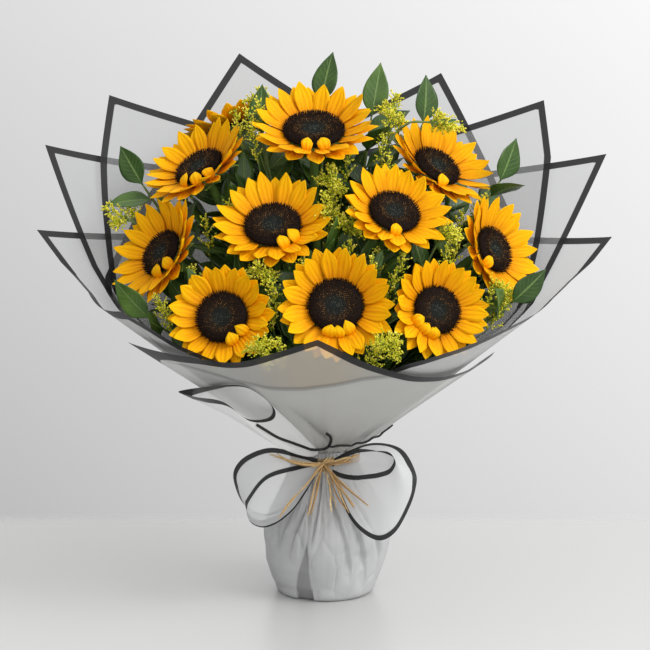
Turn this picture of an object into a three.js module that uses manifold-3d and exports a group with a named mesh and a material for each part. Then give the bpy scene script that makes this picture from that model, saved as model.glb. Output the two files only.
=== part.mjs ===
// A hand-tied bunch of eleven sunflowers with glossy leaves and goldenrod, wrapped in matte film.
// Millimetres, +Z up, +Y away from the front. The origin is the centre of the foot's underside.
import * as THREE from "three";
import { mergeVertices } from "three/addons/utils/BufferGeometryUtils.js";
import Module from "manifold-3d";

const wasm = await Module();
wasm.setup();

// Gaps that keep neighbouring pieces apart, and the shortest edge that a joined solid keeps
const SEAT_GAP = 0.35;
const LEAF_GAP = 0.8;
const SHORT_EDGE = 0.03;

// The tie, where every stem passes and the film is gathered
const TIE = { low: 132, high: 146, radius: 23.5 };

// The wrapping film: its thickness, and the step from one layer to the next
const FILM = { thickness: 0.75, pitch: 1.2, opening: 0.009, waist: 60 };

// The gathered foot, which stands on a flat bottom and holds the water pouch
const FOOT = {
  wall: 1,
  pleats: 11,
  pleatDepth: 3.6,
  profile: [[47, 0], [57, 12], [64, 40], [62, 68], [48, 100], [35, 122], [31.6, 131], [31.6, 141]],
};
const WATER = { bottom: 1.4, level: 100, shoulder: 44, sides: 18 };

// Stems
const FLOWER_STEM = 4.2;
const LEAF_STEM = 1.5;
const SPRAY_STEM = 1.3;
const STEM_FOOT = 14;
const STEM_SPREAD = 1.7;
const STEM_SPACING = 0.9;

// Leaves of a leafy stem, and the beaded shoots of a goldenrod plume
const LEAF = {
  count: 7,
  spacing: 17,
  shortest: 46,
  longest: 56,
  width: 26,
  thickness: 1.2,
  fold: 1.6,
  droop: 0.16,
};
const PLUME = { tipLength: 28, sideLength: 20, sideShoots: 3, radii: [0, 2.5, 1, 2.3, 0], step: 4 };

// Bloom construction, measured along the bloom's own axis from the back of its disc
const BLOOM = {
  sink: 4,
  plate: 6.5,
  petals: 18,
  petalWidth: 19.5,
  petalThickness: 1.4,
  rimHeight: -3.2,
  discSides: 14,
  cupDepth: 16,
  bractReach: 15,
};

// Where each bloom is, the way it faces, its disc's radius and its petals' length
const blooms = [
  { at: [-11, 10, 462], faces: [0, -0.5, 0.87], disc: 30, petal: 35 },
  { at: [-125, 15, 425], faces: [-0.44, -0.41, 0.8], disc: 25, petal: 35 },
  { at: [112, 20, 425], faces: [0.46, -0.46, 0.76], disc: 24.5, petal: 34 },
  { at: [-160, -32, 345], faces: [-0.67, -0.53, 0.52], disc: 23.5, petal: 36 },
  { at: [-50, -60, 376], faces: [-0.06, -0.64, 0.76], disc: 27, petal: 32 },
  { at: [67, -58, 388], faces: [0.23, -0.63, 0.74], disc: 25, petal: 30.5 },
  { at: [166, -25, 347], faces: [0.72, -0.57, 0.39], disc: 23, petal: 33 },
  { at: [-97, -112, 294], faces: [-0.19, -0.9, 0.39], disc: 24.5, petal: 28 },
  { at: [10, -120, 306], faces: [0, -0.91, 0.41], disc: 26, petal: 31 },
  { at: [106, -110, 300], faces: [0.35, -0.87, 0.34], disc: 23, petal: 29.5 },
  { at: [-96, 104, 462], faces: [-0.3, 0.2, 0.93], disc: 24, petal: 28 },
];

// Where the leafy stems end
const leafyTips = [
  [-180, 26, 404],
  [-168, -62, 284],
  [-4, 58, 482],
  [46, 44, 470],
  [98, 60, 462],
  [172, 14, 408],
  [178, -66, 300],
  [-10, -74, 322],
  [-62, 34, 452],
];

// Where the goldenrod sprays end, two plumes to each stem
const sprayTips = [
  [[-78, 62, 492], [-205, 4, 382]],
  [[62, 32, 470], [134, 34, 446]],
  [[6, -22, 408], [0, -46, 384]],
  [[-56, -92, 330], [-56, -142, 268]],
  [[24, -62, 372], [58, -142, 272]],
  [[112, -62, 366], [166, -64, 308]],
];

// Repeatable random draws
function seededRandom(seed) {
  let state = seed >>> 0;
  return () => {
    state = (state + 0x6d2b79f5) >>> 0;
    let mixed = Math.imul(state ^ (state >>> 15), state | 1);
    mixed ^= mixed + Math.imul(mixed ^ (mixed >>> 7), mixed | 61);
    return ((mixed ^ (mixed >>> 14)) >>> 0) / 4294967296;
  };
}

const point = (x, y, z) => new THREE.Vector3(x, y, z);
const radians = THREE.MathUtils.degToRad;

// Solid from shared corners and triangles, turned right side out
function solidFrom(corners, faces) {
  let volume = 0;
  for (const [a, b, c] of faces) {
    volume += corners[a].dot(corners[b].clone().cross(corners[c]));
  }
  const outward = volume > 0 ? faces : faces.map(([a, b, c]) => [a, c, b]);
  return new wasm.Manifold(new wasm.Mesh({
    numProp: 3,
    vertProperties: Float32Array.from(corners.flatMap((corner) => [corner.x, corner.y, corner.z])),
    triVerts: Uint32Array.from(outward.flat()),
  }));
}

// Closed solid through a row of rings. A ring of one corner is a tip, a ring may have twice the corners
// of the one before it, and an open end gets a flat cap.
function loft(rings) {
  const corners = rings.flat();
  const starts = [];
  let count = 0;
  for (const ring of rings) {
    starts.push(count);
    count += ring.length;
  }
  const faces = [];
  for (let k = 0; k + 1 < rings.length; k += 1) {
    const sides = Math.max(rings[k].length, rings[k + 1].length);
    for (let i = 0; i < sides; i += 1) {
      const next = (i + 1) % sides;
      if (rings[k + 1].length === 1) {
        faces.push([starts[k] + i, starts[k] + next, starts[k + 1]]);
      } else if (rings[k].length === 1) {
        faces.push([starts[k], starts[k + 1] + next, starts[k + 1] + i]);
      } else if (rings[k].length < rings[k + 1].length) {
        const near = starts[k] + Math.floor(i / 2);
        const nextNear = starts[k] + (Math.floor(i / 2) + 1) % rings[k].length;
        if (i % 2 === 0) {
          faces.push([near, nextNear, starts[k + 1] + next]);
          faces.push([near, starts[k + 1] + next, starts[k + 1] + i]);
        } else {
          faces.push([nextNear, starts[k + 1] + next, starts[k + 1] + i]);
        }
      } else {
        faces.push([starts[k] + i, starts[k] + next, starts[k + 1] + next]);
        faces.push([starts[k] + i, starts[k + 1] + next, starts[k + 1] + i]);
      }
    }
  }
  const last = rings.length - 1;
  for (let i = 1; i + 1 < rings[0].length; i += 1) {
    faces.push([starts[0], starts[0] + i + 1, starts[0] + i]);
  }
  for (let i = 1; i + 1 < rings[last].length; i += 1) {
    faces.push([starts[last], starts[last] + i, starts[last] + i + 1]);
  }
  return solidFrom(corners, faces);
}

// Round ring about the Z axis
function levelRing(radius, height, sides, turn = 0) {
  const ring = [];
  for (let i = 0; i < sides; i += 1) {
    const angle = turn + (2 * Math.PI * i) / sides;
    ring.push(point(radius * Math.cos(angle), radius * Math.sin(angle), height));
  }
  return ring;
}

// Rings of a round bar of changing radius along a path
function barRings(path, radii, sides) {
  const rings = [];
  let side = null;
  path.forEach((centre, k) => {
    const before = path[Math.max(k - 1, 0)];
    const after = path[Math.min(k + 1, path.length - 1)];
    const along = after.clone().sub(before).normalize();
    if (side === null) {
      side = Math.abs(along.x) < 0.9 ? point(1, 0, 0) : point(0, 1, 0);
    }
    side = side.clone().addScaledVector(along, -side.dot(along)).normalize();
    const other = along.clone().cross(side);
    if (radii[k] === 0) {
      rings.push([centre.clone()]);
      return;
    }
    const ring = [];
    for (let i = 0; i < sides; i += 1) {
      const angle = (2 * Math.PI * i) / sides;
      ring.push(centre.clone()
        .addScaledVector(side, radii[k] * Math.cos(angle))
        .addScaledVector(other, radii[k] * Math.sin(angle)));
    }
    rings.push(ring);
  });
  return rings;
}

const bar = (path, radii, sides) => loft(barRings(path, radii, sides));

// Thin shell between two grids of corners that lie face to face. Up to column turnAt the faces are split
// along their other diagonal, so that a folded sheet is split alike in both of its layers.
function shell(front, back, turnAt = 0) {
  const rows = front.length;
  const columns = front[0].length;
  const corners = [...front.flat(), ...back.flat()];
  const frontAt = (i, j) => i * columns + j;
  const backAt = (i, j) => rows * columns + i * columns + j;
  const faces = [];
  for (let i = 0; i + 1 < rows; i += 1) {
    for (let j = 0; j + 1 < columns; j += 1) {
      const square = [[i, j], [i + 1, j], [i + 1, j + 1], [i, j + 1]];
      const [a, b, c, d] = j < turnAt ? [...square.slice(1), square[0]] : square;
      faces.push([frontAt(...a), frontAt(...b), frontAt(...c)]);
      faces.push([frontAt(...a), frontAt(...c), frontAt(...d)]);
      faces.push([backAt(...a), backAt(...c), backAt(...b)]);
      faces.push([backAt(...a), backAt(...d), backAt(...c)]);
    }
  }
  const rim = [];
  for (let j = 0; j + 1 < columns; j += 1) {
    rim.push([0, j]);
  }
  for (let i = 0; i + 1 < rows; i += 1) {
    rim.push([i, columns - 1]);
  }
  for (let j = columns - 1; j > 0; j -= 1) {
    rim.push([rows - 1, j]);
  }
  for (let i = rows - 1; i > 0; i -= 1) {
    rim.push([i, 0]);
  }
  rim.forEach(([i, j], k) => {
    const [m, n] = rim[(k + 1) % rim.length];
    faces.push([frontAt(i, j), frontAt(m, n), backAt(m, n)]);
    faces.push([frontAt(i, j), backAt(m, n), backAt(i, j)]);
  });
  return solidFrom(corners, faces);
}

function joined(solids) {
  return solids.reduce((whole, solid) => whole.add(solid)).asOriginal().simplify(SHORT_EDGE);
}

// Pieces already in place, so that foliage can be bent clear of them
const placed = [];

function settle(solid) {
  placed.push({ solid, box: solid.boundingBox() });
  return solid;
}

function isClear(solid, gap, others = placed) {
  const box = solid.boundingBox();
  return others.every((other) => {
    for (let axis = 0; axis < 3; axis += 1) {
      if (box.min[axis] - gap > other.box.max[axis] || box.max[axis] + gap < other.box.min[axis]) {
        return true;
      }
    }
    return solid.minGap(other.solid, gap) >= gap * 0.99;
  });
}

const bunch = new THREE.Group();

function addPiece(parent, name, solid, colour, roughness) {
  const mesh = solid.getMesh();
  const geometry = new THREE.BufferGeometry();
  geometry.setAttribute("position", new THREE.BufferAttribute(mesh.vertProperties, mesh.numProp));
  geometry.setIndex(new THREE.BufferAttribute(mesh.triVerts, 1));
  const piece = new THREE.Mesh(
    geometry,
    new THREE.MeshStandardMaterial({ color: colour, roughness, metalness: 0 }),
  );
  piece.name = name;
  parent.add(piece);
}

// The open wrap follows a cone that is steep at the back and wide at the front.
// Angles across it are measured on the opened-out sheet, from the back, in degrees.
function steepness(bearing) {
  const turn = Math.abs(bearing);
  if (turn <= Math.PI / 2) {
    return radians(22.5 + 27.5 * (1 - Math.cos(turn)) ** 1.17);
  }
  return radians(50 + 2 * (turn / (Math.PI / 2) - 1));
}

function coneLine(bearing) {
  const lean = steepness(bearing);
  const outward = point(Math.sin(bearing), Math.cos(bearing), 0);
  const along = outward.clone().multiplyScalar(Math.sin(lean)).add(point(0, 0, Math.cos(lean)));
  const face = outward.clone().multiplyScalar(Math.cos(lean)).sub(point(0, 0, Math.sin(lean)));
  return { outward, along, face, start: 26 / Math.cos(lean) };
}

const CONE_STEPS = 720;
const openedOut = [0];
for (let k = 1; k <= CONE_STEPS; k += 1) {
  const here = coneLine((Math.PI * k) / CONE_STEPS).along;
  const before = coneLine((Math.PI * (k - 1)) / CONE_STEPS).along;
  openedOut.push(openedOut[k - 1] + THREE.MathUtils.radToDeg(here.distanceTo(before)));
}
const HALF_CONE = openedOut[CONE_STEPS];

function bearingOf(opened) {
  const folded = opened > HALF_CONE ? opened - 2 * HALF_CONE : opened;
  const size = Math.abs(folded);
  let k = 1;
  while (k < CONE_STEPS && openedOut[k] < size) {
    k += 1;
  }
  const share = (size - openedOut[k - 1]) / (openedOut[k] - openedOut[k - 1]);
  return (Math.sign(folded) * Math.PI * (k - 1 + share)) / CONE_STEPS;
}

// Corner of the film at an opened-out angle and a reach from the cone's point, standing off by a distance
function filmCorner(opened, reach, stand) {
  const { outward, along, face, start } = coneLine(bearingOf(opened));
  return point(0, 0, TIE.high)
    .addScaledVector(outward, TIE.radius)
    .addScaledVector(along, reach - start)
    .addScaledVector(face, stand);
}

// Reach of a straight sheet edge between two outline points, at an angle between them
function edgeReach(outline, opened) {
  for (let k = 0; k + 1 < outline.length; k += 1) {
    const [from, near] = outline[k];
    const [to, far] = outline[k + 1];
    if (opened >= from && opened <= to) {
      const width = radians(to - from);
      return (near * far * Math.sin(width))
        / (near * Math.sin(radians(opened - from)) + far * Math.sin(radians(to - opened)));
    }
  }
  return outline[outline.length - 1][1];
}

function edgeLift(outline, opened) {
  for (let k = 0; k + 1 < outline.length; k += 1) {
    const [from, , near = 0] = outline[k];
    const [to, , far = 0] = outline[k + 1];
    if (opened >= from && opened <= to) {
      return near + ((far - near) * (opened - from)) / (to - from);
    }
  }
  return 0;
}

// Every layer bends at these same angles, so that layers lie parallel
const LEFT_COLUMNS = [-124.7, -116, -107, -96, -88, -80, -72, -64, -52.2, -40.4, -29.5, -20, -10.6, -6];
const RIGHT_COLUMNS = [5, 10, 14.8, 22.5, 30.7, 42, 53.3, 64, 72, 80, 88, 96, 104, 117, 124.7];
const SEAM = 0.14;

// Film face of one layer along one cone line, from the tie to the outline
function filmLine(outline, opened, layer, skin, bottom) {
  const { outward, start } = coneLine(bearingOf(opened));
  const edge = edgeReach(outline, opened);
  const lift = edgeLift(outline, opened);
  const radius = TIE.radius + layer * FILM.pitch + skin;
  const stand = (run) => layer * (FILM.pitch + FILM.opening * run) + skin;
  const waist = Math.min(FILM.waist, 0.6 * (edge - start));
  return [
    outward.clone().multiplyScalar(radius).setZ(bottom),
    outward.clone().multiplyScalar(radius).setZ(TIE.high),
    filmCorner(opened, start + waist, stand(waist) + lift * 0.2),
    filmCorner(opened, edge, stand(edge - start) + lift),
  ];
}

// A back or side sheet is one square folded at the tie, so that two of its corners stand up
function foldedSheet(columns, inner, outer, bottom) {
  const fold = (innerSkin, outerSkin, level) => columns.map((opened) => [
    ...filmLine(inner.outline, opened, inner.layer, innerSkin, level).reverse(),
    ...filmLine(outer.outline, opened, outer.layer, outerSkin, level),
  ]);
  return settle(shell(
    fold(FILM.thickness, 0, bottom),
    fold(0, FILM.thickness, bottom - FILM.thickness),
    3,
  ));
}

const wrapping = new THREE.Group();
bunch.add(wrapping);
const FILM_COLOUR = "#b9bcc0";

// The back sheets meet at the middle of the back, and the side sheets a little to the left of it
const backLeft = [...LEFT_COLUMNS.filter((opened) => opened >= -64), -SEAM];
const backRight = [SEAM, ...RIGHT_COLUMNS.filter((opened) => opened <= 64)];
const sideSeam = LEFT_COLUMNS[LEFT_COLUMNS.length - 1];
const sideLeft = [...LEFT_COLUMNS.slice(0, -1), sideSeam - SEAM];
const sideRight = [sideSeam + SEAM, 0, ...RIGHT_COLUMNS];

addPiece(wrapping, "wrap_back_left", foldedSheet(
  backLeft,
  { layer: 0, outline: [[-64, 252], [-29.5, 445], [0, 326]] },
  { layer: 1, outline: [[-64, 300], [-10.6, 450], [0, 381]] },
  TIE.low,
), FILM_COLOUR, 0.6);
addPiece(wrapping, "wrap_back_right", foldedSheet(
  backRight,
  { layer: 0, outline: [[0, 326], [30.7, 441], [64, 246]] },
  { layer: 1, outline: [[0, 357], [14.8, 436], [64, 302]] },
  TIE.low,
), FILM_COLOUR, 0.6);
addPiece(wrapping, "wrap_left", foldedSheet(
  sideLeft,
  { layer: 2, outline: [[-124.7, 120], [-88, 150], [-72, 256], [-40.4, 434], [-6, 309]] },
  { layer: 3, outline: [[-124.7, 183], [-107, 180], [-96, 205], [-88, 255], [-52.2, 377], [-6, 266]] },
  TIE.low,
), FILM_COLOUR, 0.6);
addPiece(wrapping, "wrap_right", foldedSheet(
  sideRight,
  { layer: 2, outline: [[-6, 305], [42, 427], [72, 245], [88, 150], [124.7, 120]] },
  { layer: 3, outline: [[-6, 274], [53.3, 372], [80, 272], [88, 245], [104, 205], [124.7, 184]] },
  TIE.low,
), FILM_COLOUR, 0.6);

// The front sheet wraps round outside the rest. Past the front's middle its angles go on upwards.
const FRONT_OUTLINE = [
  [60, 214, 5],
  [78, 204, 4],
  [92, 207, 3],
  [107, 225, 2],
  [118, 256, 2],
  [126.2, 299, 2],
  [134, 272, 2],
  [144, 244, 2],
  [158, 241, 3],
  [176, 257, 6],
];
const FRONT_START = FRONT_OUTLINE[0][0];
const FRONT_PEAK = FRONT_OUTLINE[5][0];
const FRONT_END = FRONT_OUTLINE[FRONT_OUTLINE.length - 1][0];
function frontSheet() {
  const beyond = LEFT_COLUMNS.map((opened) => opened + 2 * HALF_CONE)
    .filter((opened) => opened < FRONT_END - 1);
  const inside = RIGHT_COLUMNS.filter((opened) => opened > FRONT_START);
  const columns = [FRONT_START, ...inside, ...beyond, FRONT_PEAK, FRONT_END].sort((a, b) => a - b);
  const side = (skin) => columns.map((opened) => filmLine(FRONT_OUTLINE, opened, 4, skin, TIE.low));
  return settle(shell(side(0), side(FILM.thickness)));
}
addPiece(wrapping, "wrap_front", frontSheet(), FILM_COLOUR, 0.6);

// Distance of the front sheet's outer face from the cone
function frontFace(opened, reach) {
  const { start } = coneLine(bearingOf(opened));
  const end = Math.min(opened, FRONT_END);
  const run = reach - start;
  const edgeRun = edgeReach(FRONT_OUTLINE, end) - start;
  const share = run < FILM.waist
    ? (0.2 * run) / FILM.waist
    : 0.2 + (0.8 * (run - FILM.waist)) / (edgeRun - FILM.waist);
  return 4 * (FILM.pitch + FILM.opening * run) + FILM.thickness + edgeLift(FRONT_OUTLINE, end) * share;
}

// Edge of the front sheet rolled into a cornet at the lower left, from its root at the tie to its mouth
function cornet() {
  const mouth = [[184.4, 175, 14], [155, 194, 3], [147, 192, 1.5], [144.5, 157, 1.5],
    [146, 147, 10], [150.4, 162, 20], [152, 199, 22], [162, 196, 20]];
  const root = [[142, 58, 0.8], [139, 58, 0.4], [136, 58, 0.4], [133, 58, 0.8],
    [132, 58, 4], [134, 58, 6], [138, 58, 7], [141, 58, 5]];
  const ringOf = (marks) => marks.map(([opened, reach, lift]) => (
    filmCorner(opened, reach, frontFace(opened, reach) + lift)
  ));
  const inset = (ring, share) => {
    const centre = ring.reduce((sum, corner) => sum.add(corner), point(0, 0, 0)).divideScalar(ring.length);
    return ring.map((corner) => corner.clone().lerp(centre, share));
  };
  const outerRoot = ringOf(root);
  const outerMouth = ringOf(mouth);
  const innerRoot = outerRoot.map((corner, k) => corner.clone().lerp(outerMouth[k], 0.12));
  return loft([outerRoot, outerMouth, inset(outerMouth, 0.1), inset(innerRoot, 0.25)]);
}
addPiece(wrapping, "wrap_cornet", settle(cornet()), FILM_COLOUR, 0.6);

// The pleated foot is one cup of film with a flat bottom and an open neck
function footRing([radius, height], inset) {
  const sides = 2 * FOOT.pleats;
  const neckRadius = FOOT.profile[FOOT.profile.length - 1][0];
  const depth = FOOT.pleatDepth * Math.min(1, (radius - neckRadius) / 12);
  return levelRing(radius, height, sides).map((corner, i) => {
    const length = radius - inset - (i % 2) * depth;
    return corner.multiplyScalar(length / radius).setZ(height);
  });
}

function footWrap() {
  const outside = FOOT.profile.map((mark) => footRing(mark, 0));
  const inside = FOOT.profile.slice(1).reverse().map((mark) => footRing(mark, FOOT.wall));
  const [floorRadius] = FOOT.profile[0];
  const floor = footRing([floorRadius, FOOT.wall], FOOT.wall);
  return loft([[point(0, 0, 0)], ...outside, ...inside, floor, [point(0, 0, FOOT.wall)]]);
}
addPiece(wrapping, "foot_wrap", settle(footWrap()), "#b4b7ba", 0.65);

// Bow of wide film ribbon: each loop runs from the knot, round and back, between its two edges
const BOW_LEFT = {
  near: [[-7.2, -46, 137], [-25, -52, 134], [-55, -66, 128], [-71, -80, 112], [-75, -88, 102],
    [-71, -92, 91], [-59, -92, 86], [-45, -88, 90], [-31, -80, 100], [-20, -66, 112], [-7.2, -48, 130]],
  far: [[-7.2, -40, 142], [-25, -42, 148], [-53, -45, 154], [-76, -43, 146], [-88, -40, 133],
    [-89, -42, 119], [-80, -50, 100], [-62, -62, 92], [-44, -66, 98], [-27, -58, 112], [-7.2, -41, 131]],
};
const BOW_RIGHT = {
  near: [[7.5, -45, 135], [25, -56, 149], [39, -64, 154], [59, -76, 157], [66, -80, 151], [62, -78, 141],
    [52, -74, 136], [42, -68, 133], [30, -60, 130], [18, -53, 130], [7.2, -47, 133]],
  far: [[7.5, -39, 141], [24, -43, 151], [48, -50, 160], [74, -60, 156], [87, -76, 137], [87, -84, 123],
    [80, -92, 104], [66, -99, 82], [48, -96, 75], [25, -82, 91], [7.2, -50, 127]],
};

function bowLoop({ near, far }) {
  const middle = near.map((corner, k) => point(...corner).lerp(point(...far[k]), 0.5));
  const normals = middle.map((_, k) => {
    const along = middle[Math.min(k + 1, middle.length - 1)].clone().sub(middle[Math.max(k - 1, 0)]);
    return along.cross(point(...near[k]).sub(point(...far[k]))).normalize();
  });
  const side = (offset) => near.map((corner, k) => [
    point(...corner).addScaledVector(normals[k], offset),
    middle[k].clone().addScaledVector(normals[k], offset),
    point(...far[k]).addScaledVector(normals[k], offset),
  ]);
  return shell(side(-FILM.thickness / 2), side(FILM.thickness / 2));
}
addPiece(wrapping, "bow_left", settle(bowLoop(BOW_LEFT)), FILM_COLOUR, 0.6);
addPiece(wrapping, "bow_right", settle(bowLoop(BOW_RIGHT)), FILM_COLOUR, 0.6);

// Raffia: a band round the neck, a knot in front and loose tails
const RAFFIA = {
  bandRadius: 33.9,
  strand: 1.6,
  tail: 1.1,
  height: 136.5,
  knot: [0, -41, 136.5],
  tails: [[-40, -98, 96], [-16, -90, 96], [8, -88, 99], [19, -94, 101], [30, -102, 104], [40, -105, 107]],
};

function solidOfGeometry(geometry) {
  geometry.deleteAttribute("normal");
  geometry.deleteAttribute("uv");
  const merged = mergeVertices(geometry, 0.001);
  const places = merged.attributes.position;
  const corners = [];
  for (let i = 0; i < places.count; i += 1) {
    corners.push(new THREE.Vector3().fromBufferAttribute(places, i));
  }
  const index = merged.index.array;
  const faces = [];
  for (let i = 0; i < index.length; i += 3) {
    faces.push([index[i], index[i + 1], index[i + 2]]);
  }
  return solidFrom(corners, faces);
}

function raffiaTie() {
  const band = new THREE.TorusGeometry(RAFFIA.bandRadius, RAFFIA.strand, 5, 20);
  band.scale(1, 1, 2.2);
  band.translate(0, 0, RAFFIA.height);
  const knot = new THREE.IcosahedronGeometry(1, 1);
  knot.scale(7.4, 6.6, 7.6);
  knot.translate(...RAFFIA.knot);
  const tails = RAFFIA.tails.map((mark) => {
    const end = point(...mark);
    const arch = point(end.x * 0.3, -74, 130);
    const path = new THREE.QuadraticBezierCurve3(point(...RAFFIA.knot), arch, end).getPoints(4);
    return bar(path, path.map(() => RAFFIA.tail), 4);
  });
  return joined([solidOfGeometry(band), solidOfGeometry(knot), ...tails]);
}
addPiece(wrapping, "raffia_tie", settle(raffiaTie()), "#b08d57", 0.85);

// Stems: where each passes the tie, pushed apart so that none touches its neighbour
const stemSpecs = [
  ...blooms.map((bloom) => ({ head: bloom.at, radius: FLOWER_STEM })),
  ...leafyTips.map((tip) => ({ head: tip, radius: LEAF_STEM })),
  ...sprayTips.map(([tip]) => ({ head: tip, radius: SPRAY_STEM })),
];

function packTie(specs) {
  const startShare = 0.105;
  const rounds = 600;
  const slots = specs.map(({ head }) => new THREE.Vector2(head[0], head[1]).multiplyScalar(startShare));
  for (let round = 0; round < rounds; round += 1) {
    for (let i = 0; i < slots.length; i += 1) {
      for (let j = i + 1; j < slots.length; j += 1) {
        const wanted = specs[i].radius + specs[j].radius + STEM_SPACING;
        const apart = slots[j].clone().sub(slots[i]);
        const missing = wanted - apart.length();
        if (missing > 0) {
          apart.setLength(missing / 2);
          slots[j].add(apart);
          slots[i].sub(apart);
        }
      }
    }
    slots.forEach((slot, i) => {
      slot.clampLength(0, TIE.radius - specs[i].radius - 1);
    });
  }
  return slots;
}
const slots = packTie(stemSpecs);

function stemPath(slot, end, arriving, sway = point(0, 0, 0)) {
  const low = point(slot.x, slot.y, TIE.low);
  const high = point(slot.x, slot.y, TIE.high);
  const foot = point(slot.x * STEM_SPREAD, slot.y * STEM_SPREAD, STEM_FOOT);
  const reach = high.distanceTo(end);
  const leaving = high.clone()
    .addScaledVector(end.clone().sub(high).normalize(), reach * 0.2)
    .add(point(0, 0, reach * 0.06))
    .add(sway);
  const bend = end.clone().addScaledVector(arriving, -reach * 0.22);
  const curve = new THREE.CubicBezierCurve3(high, leaving, bend, end);
  return [foot, low, ...curve.getPoints(4)];
}

const waterHoles = [];
function drillFor(path, radius, sides) {
  const top = path[0].clone().lerp(path[1], (WATER.level + 4 - path[0].z) / (path[1].z - path[0].z));
  const bottom = path[0].clone().add(point(0, 0, -SEAT_GAP));
  waterHoles.push(bar([bottom, top], [radius + SEAT_GAP * 1.25, radius + SEAT_GAP * 1.25], sides));
}

// Frame of a bloom: local X across, local Y up its face, height along its axis
function bloomFrame(bloom) {
  const axis = point(...bloom.faces).normalize();
  const across = point(0, 0, 1).cross(axis).normalize();
  const upFace = axis.clone().cross(across);
  const back = point(...bloom.at).addScaledVector(axis, -BLOOM.sink);
  const place = (x, y, height) => back.clone()
    .addScaledVector(across, x)
    .addScaledVector(upFace, y)
    .addScaledVector(axis, height);
  return { axis, across, upFace, place };
}

function faceRing(place, radius, height, sides, turn = 0) {
  return levelRing(radius, height, sides, turn).map((corner) => place(corner.x, corner.y, height));
}

// Rings of a petal beyond its root, along a curve that rises from the bloom's rim
function petalRings(place, { angle, length, width, rise, curl, twist }, radius) {
  const stations = [[0.42, 1], [0.76, 0.8], [1, 0]];
  return stations.map(([share, spread]) => {
    const turn = rise + curl * share;
    const reach = radius + (length / curl) * (Math.sin(turn) - Math.sin(rise));
    const level = BLOOM.rimHeight + (length / curl) * (Math.cos(rise) - Math.cos(turn));
    const at = (side, up) => place(
      reach * Math.cos(angle) - side * Math.sin(angle),
      reach * Math.sin(angle) + side * Math.cos(angle),
      level + up,
    );
    if (spread === 0) {
      return [at(0, 0)];
    }
    const half = (width * spread) / 2;
    const lift = 0.9 * spread;
    return [
      at(-half, lift - twist * half),
      at(0, -BLOOM.petalThickness / 2),
      at(half, lift + twist * half),
      at(0, BLOOM.petalThickness / 2),
    ];
  });
}

// Root ring of a petal on the rim. Neighbouring petals share their side corners.
function petalRoot(place, radius, k) {
  const step = (2 * Math.PI) / BLOOM.petals;
  const at = (turn, up) => place(
    radius * Math.cos(turn * step),
    radius * Math.sin(turn * step),
    BLOOM.rimHeight + up,
  );
  const half = BLOOM.petalThickness / 2;
  return [at(k - 0.5, 0), at(k, -half), at(k + 0.5, 0), at(k, half)];
}

// All petals of a bloom, grown from one thin plate behind the disc
function petalCrown(place, radius, petals) {
  const corners = [place(0, 0, 0), place(0, 0, -BLOOM.plate)];
  const faces = [];
  const shared = petals.map((_, k) => corners.push(petalRoot(place, radius, k)[0]) - 1);
  petals.forEach((rings, k) => {
    const root = petalRoot(place, radius, k);
    const under = corners.push(root[1]) - 1;
    const over = corners.push(root[3]) - 1;
    const near = shared[k];
    const far = shared[(k + 1) % petals.length];
    faces.push([0, near, over], [0, over, far], [1, under, near], [1, far, under]);
    let ring = [near, under, far, over];
    rings.forEach((next) => {
      const first = corners.length;
      corners.push(...next);
      for (let i = 0; i < 4; i += 1) {
        const j = (i + 1) % 4;
        if (next.length === 1) {
          faces.push([ring[i], ring[j], first]);
        } else {
          faces.push([ring[i], ring[j], first + j], [ring[i], first + j, first + i]);
        }
      }
      ring = next.map((_, i) => first + i);
    });
  });
  return solidFrom(corners, faces);
}

// Disc of packed florets: a raised ring round a dip, with corners that alternate up and down
const DISC_RINGS = [
  { share: 0.97, height: 0.3, relief: 0 },
  { share: 1, height: 2.4, relief: 0 },
  { share: 0.86, height: 5.2, relief: 0.5 },
  { share: 0.66, height: 6, relief: 0.7 },
  { share: 0.46, height: 4.4, relief: 0.6 },
  { share: 0.25, height: 3, relief: 0.4 },
];
const DISC_MIDDLE = 3.4;

function disc(bloom, { place, axis }) {
  const radius = bloom.disc - 0.6;
  const rings = DISC_RINGS.map(({ share, height, relief }, k) => (
    faceRing(place, radius * share, height, BLOOM.discSides)
      .map((corner, i) => corner.addScaledVector(axis, relief * ((i + k) % 2 === 0 ? 1 : -1)))
  ));
  return loft([...rings, [place(0, 0, DISC_MIDDLE)]]);
}

// Stem with the green cup behind the bloom, whose edge runs out into pointed bracts
function flowerStem(bloom, slot, frame) {
  const cupTop = -BLOOM.plate - SEAT_GAP;
  const path = stemPath(slot, frame.place(0, 0, cupTop - BLOOM.cupDepth), frame.axis);
  drillFor(path, FLOWER_STEM, 6);
  const stem = barRings(path, path.map(() => FLOWER_STEM), 6);
  const side = stem[stem.length - 1][0];
  const turn = Math.atan2(
    side.clone().sub(frame.place(0, 0, 0)).dot(frame.upFace),
    side.clone().sub(frame.place(0, 0, 0)).dot(frame.across),
  );
  const cup = faceRing(frame.place, bloom.disc * 0.6, cupTop - 8, 6, turn);
  const bracts = faceRing(frame.place, bloom.disc + BLOOM.bractReach, cupTop - 3, 12, turn)
    .map((corner, i) => (i % 2 === 0 ? corner : corner.lerp(frame.place(0, 0, cupTop - 4), 0.42)));
  const top = faceRing(frame.place, bloom.disc * 0.8, cupTop, 12, turn);
  return loft([...stem, cup, bracts, top]);
}

const flowers = new THREE.Group();
bunch.add(flowers);
const number = (i) => String(i + 1).padStart(2, "0");

const frames = blooms.map(bloomFrame);
blooms.forEach((bloom, i) => {
  const frame = frames[i];
  addPiece(flowers, `stem_${number(i)}`, settle(flowerStem(bloom, slots[i], frame)), "#5d7f2c", 0.6);
  addPiece(flowers, `disc_${number(i)}`, settle(disc(bloom, frame)), "#2a1a10", 0.9);
});

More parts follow.
